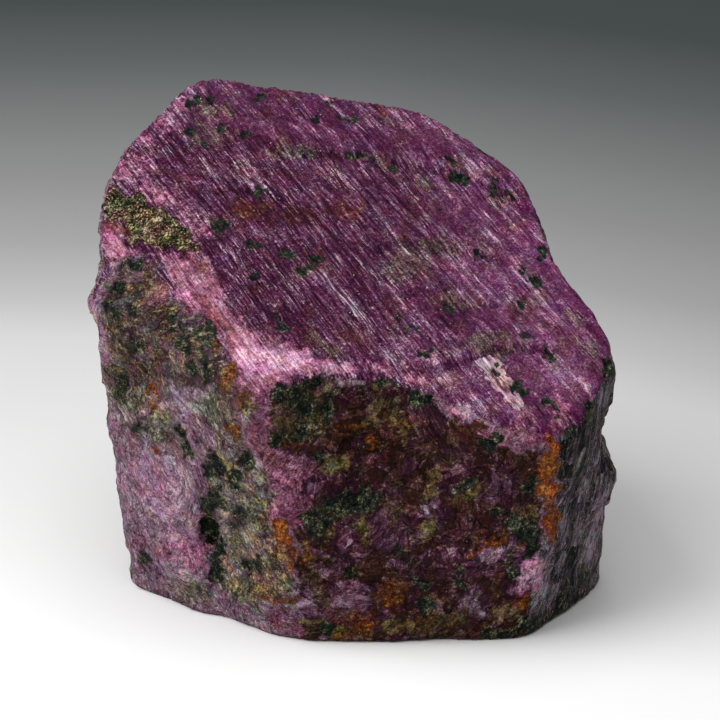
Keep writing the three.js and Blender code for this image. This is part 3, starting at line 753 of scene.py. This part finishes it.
def build_stone():
    """The stone in metres, with its masks, the places of its bare points and its map."""
    mesh = fine_mesh()
    edges = read(mesh.edges, "vertices", np.int64, 2)
    points = read(mesh.vertices, "co", width=3)
    on_base = points[:, 2] < BASE_HEIGHT
    write_points(mesh, flattened(smooth(points, edges, SMOOTHING_ROUNDS), on_base))
    surface = Surface(mesh)
    step_height, step_shade = parting_steps(surface.points)
    masks = mineral_masks(surface)
    masks["shade"] = shade_mask(surface, step_shade)
    for name, share in masks.items():
        mesh.attributes.new(name, "FLOAT", "POINT").data.foreach_set("value", share.astype(np.float32))
    place = mesh.attributes.new("place", "FLOAT_VECTOR", "POINT")
    place.data.foreach_set("vector", surface.points.astype(np.float32).ravel())
    lay_out_map(mesh, surface)
    height = surface.top * top_relief(surface, masks, step_height)
    height += surface.wall * wall_relief(surface, masks)
    write_points(mesh, flattened(shape_stone(surface, height, edges), on_base) * MM)
    close_base(mesh)
    stone = bpy.data.objects.new("ruby_stone", mesh)
    scene.collection.objects.link(stone)
    return stone


# ---- The stone's material ----

# How strongly the bare surface shines, and how deep its finest roughness is.
SHEEN = 0.05
ROUGH_DEPTH_MM = 0.36
# The colour of a glint, and the part of the fine specks that is none.
GLINT = tone(236, 224, 230)
NO_GLINT = 0.998
# How much the palest crystal is lightened.
PALE_GAIN = 0.34
# How far each channel of a colour drifts from place to place.
HUE_DRIFT = (0.9, 0.9, 0.5)
MIDDLE = (0.5, 0.5, 0.5)
# How many times longer than wide the streaks and the fine lines are, on the top and on the walls, and the
# blades of the walls.
TOP_STREAK = 10.0
TOP_LINE = 30.0
WALL_STREAK = 7.0
WALL_LINE = 20.0
BLADE = 2.6
BLADE_SCALE = 0.42
# How far the flakes are bent, in millimetres, and what part of that bends the laths of the left and front
# walls, and the straighter streaks of the top and the right wall.
BEND_MM = 4.0
LATH_BEND = 0.14
STRAIGHT_BEND = 0.12
# How far each lath turns its own way, and how firmly those of the right wall keep to its fibres.
OWN_WAY = 1.9
RIGHT_FIRMNESS = 9.0
# How much of what lies beneath the moss and the mica they hide, and how much the rust hides on the walls.
MOSS_COVER = 0.55
OLIVE_COVER = 0.88
RUST_COVER = 0.95
# Where the colours of one mineral stand, from its darkest grains at 0 to its palest at 1.
TOP_STOPS = (0.05, 0.26, 0.4, 0.5, 0.6, 0.72, 0.86, 1.0)
WALL_STOPS = (0.1, 0.3, 0.42, 0.5, 0.6, 0.75, 1.0)
PINK_STOPS = (0.1, 0.3, 0.46, 0.6, 0.75, 0.88, 1.0)
MOSS_STOPS = (0.15, 0.35, 0.5, 0.62, 0.8, 1.0)
WEDGE_STOPS = (0.1, 0.28, 0.42, 0.52, 0.64, 0.8, 1.0)
CHIP_STOPS = (0.2, 0.4, 0.55, 0.75, 1.0)
RUST_STOPS = (0.15, 0.34, 0.5, 0.64, 0.78, 1.0)
OLIVE_STOPS = (0.12, 0.3, 0.44, 0.56, 0.7, 0.85, 1.0)
DARK_STOPS = (0.15, 0.36, 0.5, 0.62, 0.76, 1.0)


class Shader:
    """Adds nodes to one material and links them."""

    def __init__(self, name):
        self.material = bpy.data.materials.new(name)
        self.material.use_nodes = True
        self.tree = self.material.node_tree
        self.skin = self.tree.nodes["Principled BSDF"]

    def put(self, socket, value):
        """Links a value to a socket, or sets it there if it is a constant."""
        if isinstance(value, bpy.types.NodeSocket):
            self.tree.links.new(value, socket)
        else:
            socket.default_value = value

    def node(self, kind, values=None, **settings):
        """A new node with its inputs and its settings."""
        made = self.tree.nodes.new("ShaderNode" + kind)
        for name, setting in settings.items():
            setattr(made, name, setting)
        for key, value in (values or {}).items():
            self.put(made.inputs[key], value)
        return made

    def share(self, name):
        """What one of the mesh's masks says."""
        return self.node("Attribute", attribute_name=name).outputs["Fac"]

    def math(self, operation, first, second=0.0, third=0.0):
        """The result of one piece of arithmetic."""
        return self.node("Math", {0: first, 1: second, 2: third}, operation=operation).outputs[0]

    def total(self, start, *pairs, **weights):
        """`start` and the weighted sum of (value, weight) pairs and of patterns, which are given by name."""
        named = [(getattr(self, name), weight) for name, weight in weights.items()]
        for value, weight in [*pairs, *named]:
            start = self.math("MULTIPLY_ADD", value, weight, start)
        return start

    def blend(self, **weights):
        """A half, pushed up and down by patterns that lie about a half."""
        return self.total(0.5 - 0.5 * sum(weights.values()), **weights)

    def ease(self, value, low, high):
        """0 at `low`, 1 at `high`, and smooth between them."""
        made = self.node("MapRange", {0: value, 1: low, 2: high}, interpolation_type="SMOOTHSTEP")
        return made.outputs[0]

    def mix(self, share, first, second):
        """Two colours mixed, with a share of the second."""
        return self.node("Mix", {0: share, 6: first, 7: second}, data_type="RGBA").outputs[2]

    def choose(self, share, first, second):
        """The first vector, or the second where the share is 1."""
        return self.node("Mix", {0: share, 4: first, 5: second}, data_type="VECTOR").outputs[1]

    def vector(self, operation, first, second=(0.0, 0.0, 0.0)):
        """The result of one piece of arithmetic on vectors or colours."""
        made = self.node("VectorMath", {0: first, 1: second}, operation=operation)
        return made.outputs["Value" if operation == "DOT_PRODUCT" else "Vector"]

    def scaled(self, vector, scale):
        """A vector or colour times a number."""
        return self.node("VectorMath", {0: vector, "Scale": scale}, operation="SCALE").outputs[0]

    def moved(self, where, shift, scale=1.0):
        """Coordinates moved by a scaled shift."""
        return self.vector("ADD", where, self.scaled(shift, scale))

    def stretched(self, where, direction, length):
        """Coordinates that run so many times more slowly along a direction."""
        along = self.vector("DOT_PRODUCT", where, direction)
        return self.moved(where, direction, self.math("MULTIPLY", along, 1.0 / length - 1.0))

    def noise(self, where, scale, detail, roughness, output="Fac"):
        """A pattern of smooth lumps, or with "Color" three such patterns as one colour."""
        values = {"Vector": where, "Scale": scale, "Detail": detail, "Roughness": roughness}
        return self.node("TexNoise", values).outputs[output]

    def cells(self, where, scale):
        """A colour of its own for each angular cell."""
        return self.node("TexVoronoi", {"Vector": where, "Scale": scale}).outputs["Color"]

    def channels(self, colour):
        """The three channels of a colour."""
        return self.node("SeparateColor", {0: colour}).outputs[0:3]

    def ramp(self, share, stops, *colours):
        """A run of display colours, one at each stop."""
        made = self.node("ValToRGB", {0: share})
        elements = made.color_ramp.elements
        while len(elements) < len(stops):
            elements.new(0.5)
        for element, stop, colour in zip(elements, stops, colours):
            element.position = stop
            element.color = tone(*colour)
        return made.outputs[0]


class Stone(Shader):
    """The ruby's material: patterns of every size that its minerals share, and the colour of each mineral."""

    def __init__(self):
        super().__init__("ruby_stone")
        place = self.node("Attribute", attribute_name="place").outputs["Vector"]
        self.aside, self.behind = self.node("SeparateXYZ", {0: place}).outputs[0:2]
        self.dust, self.specks, _ = self.channels(self.cells(place, 4.2))
        self.grain = self.noise(place, 2.4, 3.0, 0.75)
        self.crumbs = self.noise(place, 0.9, 8.0, 0.75)
        self.clouds = self.noise(place, 0.16, 5.0, 0.6)
        self.patch_0, self.patch_1, self.patch_2 = self.three(place, 0.42, 8.0, 0.72)
        self.tint_0, self.tint_1, self.tint_2 = self.three(place, 0.15, 6.0, 0.66)
        self.top = self.ease(self.share("top"), 0.3, 0.7)
        self.shade = self.share("shade")
        self.plum = self.share("plum")
        self.lighter = self.math("MULTIPLY", self.ease(self.share("pale"), 0.1, 1.3), PALE_GAIN)
        self.in_front = self.ease(self.share("maroon"), 0.6, 0.9)
        self.lay_fibres(place)

    def three(self, *settings):
        """Three patterns of smooth lumps that don't go together."""
        return self.channels(self.noise(*settings, "Color"))

    def over(self, name):
        """1 where a mask is over a half, with an edge roughened by crumbs."""
        return self.math("GREATER_THAN", self.total(-0.2, (self.share(name), 1.0), crumbs=0.4), 0.5)

    def lines(self, where, scale, width):
        """Fine lines where a noise passes its middle value."""
        off = self.math("ABSOLUTE", self.math("SUBTRACT", self.noise(where, scale, 3.0, 0.6), 0.5))
        return self.ease(off, width, 0.0)

    def lay_fibres(self, place):
        """Streaks along the striations of the top, and along laths that run their own way on the walls."""
        bend = self.scaled(self.noise(place, 0.3, 3.0, 0.5, "Color"), BEND_MM)
        bent = self.moved(place, bend)
        flakes = self.cells(bent, 0.2)
        self.flake = self.channels(flakes)[0]
        self.drift = self.noise(bent, 0.3, 2.0, 0.5, "Color")
        is_right = self.over("right")
        run = self.choose(self.over("left"), FRONT_FIBRES, LEFT_FIBRES)
        run = self.choose(is_right, run, RIGHT_FIBRES * RIGHT_FIRMNESS)
        run = self.vector("NORMALIZE", self.moved(run, self.vector("SUBTRACT", flakes, MIDDLE), OWN_WAY))
        straight = self.moved(place, bend, STRAIGHT_BEND)
        lath_place = self.choose(is_right, self.moved(place, bend, LATH_BEND), straight)
        lath_flow = self.stretched(lath_place, run, WALL_STREAK)
        self.grooves = self.noise(lath_flow, 0.24, 4.0, 0.6)
        self.lay_blades(place, lath_place, run)
        is_top = self.over("top")
        flow = self.choose(is_top, lath_flow, self.stretched(straight, STRIATION, TOP_STREAK))
        lath_lines = self.stretched(lath_place, run, WALL_LINE)
        lines = self.choose(is_top, lath_lines, self.stretched(straight, STRIATION, TOP_LINE))
        self.broad_streaks = self.noise(flow, 0.4, 5.0, 0.65)
        self.streaks = self.noise(flow, 1.4, 4.0, 0.7)
        self.fine_streaks = self.noise(lines, 2.6, 3.0, 0.8)
        self.hairs = self.lines(lines, 0.9, 0.02)
        self.cracks = self.lines(lines, 0.6, 0.018)

    def lay_blades(self, place, lath_place, run):
        """Angular blades along the laths, with crumbled edges, and the dark seams between them."""
        shift = self.vector("SUBTRACT", self.noise(place, 1.3, 3.0, 0.7, "Color"), MIDDLE)
        where = self.stretched(self.moved(lath_place, shift, 1.4), run, BLADE)
        self.blade_0, self.blade_1, self.blade_2 = self.channels(self.cells(where, BLADE_SCALE))
        seams = self.node("TexVoronoi", {"Vector": where, "Scale": BLADE_SCALE}, feature="DISTANCE_TO_EDGE")
        self.seams = self.ease(seams.outputs["Distance"], 0.09, 0.0)

    def strewn(self, name, rough, spread=1.0, edge=0.08):
        """Where one mineral lies: its mask says how likely it is, and a rough pattern decides on the spot."""
        chance = self.total(-0.5 * spread, (self.share(name), 1.0), (rough, spread))
        return self.ease(chance, 0.5 - edge, 0.5 + edge)

    def ragged(self, lumps, **weights):
        """A pattern with lumps of a few millimetres and crumbled edges."""
        return self.blend(**{lumps: 0.9}, crumbs=0.9, grain=0.3, **weights)

    def top_colour(self):
        """Dark ruby, smooth in some places and thick with paler streaks in others: the streaks are partly the
        crystal's own bands and partly a painted sheen along the striations.
        """
        behind = self.ease(self.behind, 17.0, 24.0)
        faded = self.math("MAXIMUM", self.ease(self.aside, -8.0, 30.0), behind)
        thick = self.ease(self.blend(broad_streaks=1.6, clouds=1.2, patch_0=0.5), 0.36, 0.76)
        strength = self.total(0.72, (thick, 0.7), (faded, -0.52), shade=-0.2)
        streaky = self.total(-1.4, streaks=1.2, fine_streaks=1.6)
        speckle = self.total(-1.3, crumbs=0.9, tint_1=0.5, grain=0.9, dust=0.3)
        mottled = self.total(-0.45, patch_2=0.4, broad_streaks=0.4, crumbs=0.1)
        softer = self.total(1.0, (faded, -0.22))
        share = self.total(
            0.45, (speckle, softer), (streaky, strength), (thick, 0.1), (mottled, faded),
            lighter=0.55, cracks=-0.2, shade=0.1,
        )
        cool = self.ramp(
            share, TOP_STOPS, (28, 3, 20), (51, 12, 38), (70, 26, 55), (84, 39, 69), (103, 60, 89),
            (132, 94, 120), (168, 134, 157), (212, 184, 202),
        )
        bright = self.ramp(
            share, TOP_STOPS, (34, 2, 27), (60, 13, 48), (80, 29, 67), (95, 42, 81), (114, 62, 99),
            (146, 98, 130), (184, 142, 168), (228, 198, 216),
        )
        warm = self.ramp(
            share, TOP_STOPS, (30, 4, 15), (54, 15, 31), (73, 30, 47), (87, 43, 61), (105, 64, 81),
            (134, 98, 112), (172, 140, 152), (224, 196, 204),
        )
        brighter = self.math("MAXIMUM", self.ease(self.aside, 6.0, 38.0), self.math("MULTIPLY", behind, 0.4))
        return self.mix(self.ease(self.tint_0, 0.48, 0.64), self.mix(brighter, cool, bright), warm)

    def wall_colour(self):
        """Broken crystal: lilac and green-grey on the left, maroon and plum in front, grey on the right."""
        is_front = self.strewn("maroon", self.ragged("patch_1"), 0.8, 0.14)
        speckle = self.total(
            -2.42, grain=0.9, dust=0.24, crumbs=0.9, patch_1=0.8,
            streaks=0.8, fine_streaks=1.2, hairs=0.16, cracks=-0.16,
        )
        blades = self.math("SUBTRACT", self.blade_0, 0.5)
        share = self.total(
            0.51, (speckle, self.total(0.9, (is_front, -0.36))), (blades, self.total(0.2, (is_front, 0.12))),
            (is_front, -0.03), flake=0.08, lighter=1.0, shade=0.13, seams=-0.14,
        )
        lilac = self.ramp(
            share, WALL_STOPS, (48, 24, 36), (88, 59, 74), (111, 80, 96), (126, 93, 111), (141, 107, 127),
            (168, 136, 154), (222, 200, 214),
        )
        green_grey = self.ramp(
            share, WALL_STOPS, (20, 21, 16), (50, 47, 35), (71, 65, 53), (87, 79, 67), (105, 95, 83),
            (138, 126, 114), (208, 200, 190),
        )
        brown = self.ramp(
            share, WALL_STOPS, (19, 7, 6), (36, 17, 13), (47, 24, 20), (56, 30, 26), (70, 39, 34),
            (106, 72, 64), (190, 160, 150),
        )
        plum = self.ramp(
            share, WALL_STOPS, (24, 6, 15), (42, 17, 28), (54, 25, 38), (66, 33, 48), (84, 48, 67),
            (126, 88, 112), (206, 176, 198),
        )
        hue = self.total(-0.185, tint_1=0.7, blade_1=0.3, crumbs=0.25, plum=0.3)
        front = self.mix(self.ease(hue, 0.44, 0.56), brown, plum)
        is_grey = self.strewn("grey", self.ragged("patch_2", blade_2=0.3, tint_2=1.0), 1.0, 0.3)
        wall = self.mix(is_front, self.mix(is_grey, lilac, green_grey), front)
        return self.mix(self.strewn("right", self.crumbs, 0.6, 0.1), wall, self.right_colour())

    def right_colour(self):
        """Smooth grey panels between black-green grooves that follow the fibres: the grey and the lighter
        panel are partly the wall's own colour and partly a painted sheen.
        """
        share = self.blend(grooves=2.0, streaks=1.3, fine_streaks=1.6, crumbs=0.9, grain=1.0, dust=0.24)
        share = self.total(share, cracks=-0.25, lighter=0.5, shade=0.18)
        return self.ramp(
            share, WALL_STOPS, (12, 15, 13), (34, 36, 33), (60, 55, 57), (84, 73, 79), (100, 87, 94),
            (122, 108, 117), (170, 156, 166),
        )

    def add_pink(self, colour):
        """Clearer, paler crystal along the rims and on the left wall; at the front-left rim its paleness is
        partly a painted glow of light through the crystal.
        """
        share = self.blend(streaks=0.7, fine_streaks=1.0, crumbs=1.2, patch_0=0.6, grain=0.8, dust=0.14)
        pink = self.ramp(
            self.total(share, lighter=1.0, shade=0.08), PINK_STOPS, (46, 12, 26), (82, 36, 54), (110, 60, 80),
            (144, 90, 113), (188, 128, 157), (222, 162, 195), (250, 206, 235),
        )
        return self.mix(self.strewn("pink", self.ragged("patch_0", streaks=0.8), 1.0, 0.2), colour, pink)

    def add_moss(self, colour):
        """A thin grey-green film that follows the streaks."""
        share = self.blend(crumbs=1.3, grain=1.3, dust=0.25, streaks=1.0, fine_streaks=1.0)
        moss = self.ramp(
            share, MOSS_STOPS, (26, 24, 16), (56, 48, 37), (88, 78, 64), (114, 101, 86), (156, 140, 124),
            (210, 198, 184),
        )
        film = self.strewn("moss", self.ragged("patch_1", streaks=1.2, fine_streaks=0.8), 1.3, 0.3)
        return self.mix(self.math("MULTIPLY", film, MOSS_COVER), colour, moss)

    def add_wedge(self, colour):
        """The wedge of green, yellowish and reddish blades at the left of the top."""
        share = self.blend(
            crumbs=1.4, grain=1.1, dust=0.3, streaks=0.8, fine_streaks=2.4, patch_1=1.5, tint_2=0.7,
        )
        share = self.math("ADD", share, -0.02)
        green = self.ramp(
            share, WEDGE_STOPS, (6, 13, 9), (19, 27, 19), (42, 45, 30), (66, 64, 42), (100, 92, 60),
            (152, 138, 94), (218, 206, 160),
        )
        red = self.ramp(
            share, WEDGE_STOPS, (24, 12, 9), (48, 28, 23), (76, 50, 42), (100, 70, 60), (132, 98, 84),
            (182, 146, 124), (230, 204, 184),
        )
        blades = self.mix(self.ease(self.blend(patch_2=0.6, tint_0=0.8), 0.46, 0.6), green, red)
        lies = self.total(-0.6, (self.share("wedge"), 1.0), crumbs=1.2)
        return self.mix(self.ease(lies, 0.36, 0.64), colour, blades)

    def add_chip(self, colour):
        """The long pale chip near the front of the top."""
        pale = self.ramp(
            self.blend(streaks=1.6, fine_streaks=1.2, crumbs=1.2, grain=0.6), CHIP_STOPS, (92, 54, 68),
            (142, 104, 116), (186, 150, 160), (222, 192, 200), (246, 228, 230),
        )
        lies = self.total(-0.45, (self.share("chip"), 1.0), crumbs=0.9)
        return self.mix(self.ease(lies, 0.34, 0.6), colour, pale)

    def add_rust(self, colour):
        """Rust-brown stains, orange where they are thickest, and thinner on the top."""
        share = self.blend(grain=0.9, crumbs=1.3, streaks=0.8, dust=0.14)
        rust = self.ramp(
            self.total(share, (self.share("rust"), 0.3), (1.0, -0.2), top=-0.1), RUST_STOPS, (36, 11, 5),
            (70, 28, 10), (102, 51, 18), (142, 78, 26), (200, 120, 36), (234, 184, 112),
        )
        lies = self.strewn("rust", self.ragged("patch_2", streaks=0.6), 1.0, 0.25)
        return self.mix(self.math("MULTIPLY", lies, self.total(RUST_COVER, top=-0.5)), colour, rust)

    def add_olive(self, colour):
        """Olive and grey-green mica with yellowish edges and dark gaps."""
        weights = {"grain": 0.9, "crumbs": 1.5, "streaks": 0.6, "fine_streaks": 0.6}
        share = self.total(-2.445, **weights, blade_1=0.25, patch_0=0.9, dust=0.14)
        # In the brown front wall the grains stand out less, and more of them are yellowish.
        share = self.total(0.5, (share, self.total(1.3, in_front=-0.5)), in_front=-0.03)
        olive = self.ramp(
            share, OLIVE_STOPS, (16, 16, 10), (46, 42, 25), (86, 73, 44), (123, 103, 62), (162, 138, 84),
            (200, 176, 118), (226, 212, 174),
        )
        grey_green = self.ramp(
            share, OLIVE_STOPS, (11, 19, 18), (42, 51, 48), (75, 82, 77), (103, 107, 101), (136, 136, 128),
            (176, 171, 160), (218, 212, 202),
        )
        hue = self.total(self.blend(tint_2=0.8, patch_2=0.8, blade_0=0.12), in_front=-0.12)
        mica = self.mix(self.ease(hue, 0.45, 0.58), olive, grey_green)
        lies = self.strewn("olive", self.ragged("patch_1", streaks=0.5), 1.1, 0.3)
        return self.mix(self.math("MULTIPLY", lies, OLIVE_COVER), colour, mica)

    def add_dark(self, colour):
        """Black-green mica, with paler and yellower flecks; also gives where it lies."""
        weights = {"grain": 0.9, "crumbs": 1.4, "streaks": 0.6, "fine_streaks": 0.6}
        share = self.blend(**weights, blade_2=0.25, patch_1=0.8, dust=0.24)
        dark = self.ramp(
            self.total(share, (1.0, 0.02), top=-0.08), DARK_STOPS, (4, 7, 7), (15, 24, 21), (31, 40, 35),
            (56, 60, 46), (98, 92, 66), (188, 182, 152),
        )
        ragged = self.math("SUBTRACT", self.ragged("patch_2", streaks=0.5), 0.5)
        spread = self.total(1.1, top=-0.5)
        lies = self.ease(self.total(self.share("dark"), (ragged, spread)), 0.34, 0.66)
        return lies, self.mix(lies, colour, dark)

    def drifted(self, colour):
        """A colour whose hue drifts a little from one place to the next."""
        part = self.vector("MULTIPLY", self.vector("SUBTRACT", self.drift, MIDDLE), HUE_DRIFT)
        return self.vector("MULTIPLY", colour, self.vector("ADD", part, (1.0, 1.0, 1.0)))

    def dress(self):
        """Lays the minerals over each other and links colour, gloss and the finest roughness to the skin."""
        colour = self.mix(self.top, self.wall_colour(), self.top_colour())
        layers = (self.add_pink, self.add_moss, self.add_wedge, self.add_chip, self.add_rust, self.add_olive)
        for add in layers:
            colour = add(colour)
        is_dark, colour = self.add_dark(colour)
        glints = self.math("GREATER_THAN", self.specks, NO_GLINT)
        glints = self.math("MULTIPLY", glints, self.total(0.2, top=0.2))
        self.put(self.skin.inputs["Base Color"], self.mix(glints, self.drifted(colour), GLINT))
        self.put(self.skin.inputs["Roughness"], self.total(0.36, (is_dark, -0.1), crumbs=0.4))
        self.skin.inputs["Specular IOR Level"].default_value = SHEEN
        chipped = self.total(0.0, blade_0=0.8, seams=-0.4, hairs=0.2, patch_0=1.2)
        walls = self.math("SUBTRACT", 1.0, self.top)
        rough = self.total(
            0.0, (chipped, walls), streaks=0.6, fine_streaks=1.0, grain=0.4, crumbs=0.9, cracks=-0.2,
        )
        depth = {"Height": rough, "Strength": 1.0, "Distance": ROUGH_DEPTH_MM * MM}
        self.put(self.skin.inputs["Normal"], self.node("Bump", depth).outputs[0])
        return self.material


stone = build_stone()
stone.data.materials.clear()
stone.data.materials.append(Stone().dress())
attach(stone, "root")
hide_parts(NODE)

# ---- Floor, light and camera, in metres ----

FLOOR_SIDE = 5.0
FLOOR_ROUGHNESS = 0.9
FLOOR_SHEEN = 0.1
# Between which two depths the floor's painted shade darkens it, where its greys stand on the way, and how
# much sooner they come to the right of the stone.
FLOOR_NEAR = -0.05
FLOOR_FAR = 0.6
FLOOR_STOPS = (0.0, 0.05, 0.11, 0.175, 0.26, 0.31, 0.39, 0.5, 0.63, 0.79, 1.0)
FLOOR_LEAN = 0.6
WORLD_GREY = (0.22, 0.22, 0.22, 1.0)


def paper():
    """Pale paper with painted shade that darkens it behind the stone, and sooner to its right."""
    shader = Shader("paper")
    spot = shader.node("SeparateXYZ", {0: shader.node("TexCoord").outputs["Object"]}).outputs
    depth = shader.total(spot["Y"], (shader.math("MAXIMUM", spot["X"], 0.0), FLOOR_LEAN))
    far = shader.node("MapRange", {0: depth, 1: FLOOR_NEAR, 2: FLOOR_FAR}).outputs[0]
    greys = [(grey, grey, grey) for grey in (229, 224, 214, 203, 192, 172, 148, 130)]
    # Painted shade: the floor's greys darken behind the stone, and sooner to its right.
    painted_shade_sweep = shader.ramp(far, FLOOR_STOPS, *greys, (112, 114, 114), (90, 93, 93), (68, 74, 74))
    shader.put(shader.skin.inputs["Base Color"], painted_shade_sweep)
    shader.skin.inputs["Roughness"].default_value = FLOOR_ROUGHNESS
    shader.skin.inputs["Specular IOR Level"].default_value = FLOOR_SHEEN
    return shader.material


def add_floor():
    """A wide flat floor that is no part of the stone."""
    mesh = bpy.data.meshes.new("floor")
    half = FLOOR_SIDE / 2
    corners = [(-half, -half, 0), (half, -half, 0), (half, half, 0), (-half, half, 0)]
    mesh.from_pydata(corners, [], [(0, 1, 2, 3)])
    floor = bpy.data.objects.new("floor", mesh)
    scene.collection.objects.link(floor)
    floor.data.materials.append(paper())


def add_light(name, place, side, power):
    """A soft square light that is turned to the stone."""
    data = bpy.data.lights.new(name, "AREA")
    data.size = side
    data.energy = power
    light = bpy.data.objects.new(name, data)
    light.location = place
    light.rotation_euler = (AIM_MM * MM - Vector(place)).to_track_quat("-Z", "Y").to_euler()
    scene.collection.objects.link(light)


def add_world():
    """A plain grey world."""
    world = bpy.data.worlds.new("studio")
    world.use_nodes = True
    world.node_tree.nodes["Background"].inputs["Color"].default_value = WORLD_GREY
    scene.world = world


def add_camera():
    """The viewpoint of the reference picture."""
    data = bpy.data.cameras.new("camera")
    data.sensor_width = SENSOR_MM
    data.lens = LENS_MM
    data.clip_start = 0.01
    camera = bpy.data.objects.new("camera", data)
    camera.location = CAMERA_PLACE_MM * MM
    camera.rotation_euler = (-CAMERA_BACK).to_track_quat("-Z", "Y").to_euler()
    scene.collection.objects.link(camera)
    scene.camera = camera


add_floor()
add_light("key", (-0.75, -0.14, 1.0), 0.9, 14.0)
add_light("overhead", (0.05, -0.05, 1.2), 1.0, 9.0)
add_world()
scene.view_settings.view_transform = "Standard"
add_camera()
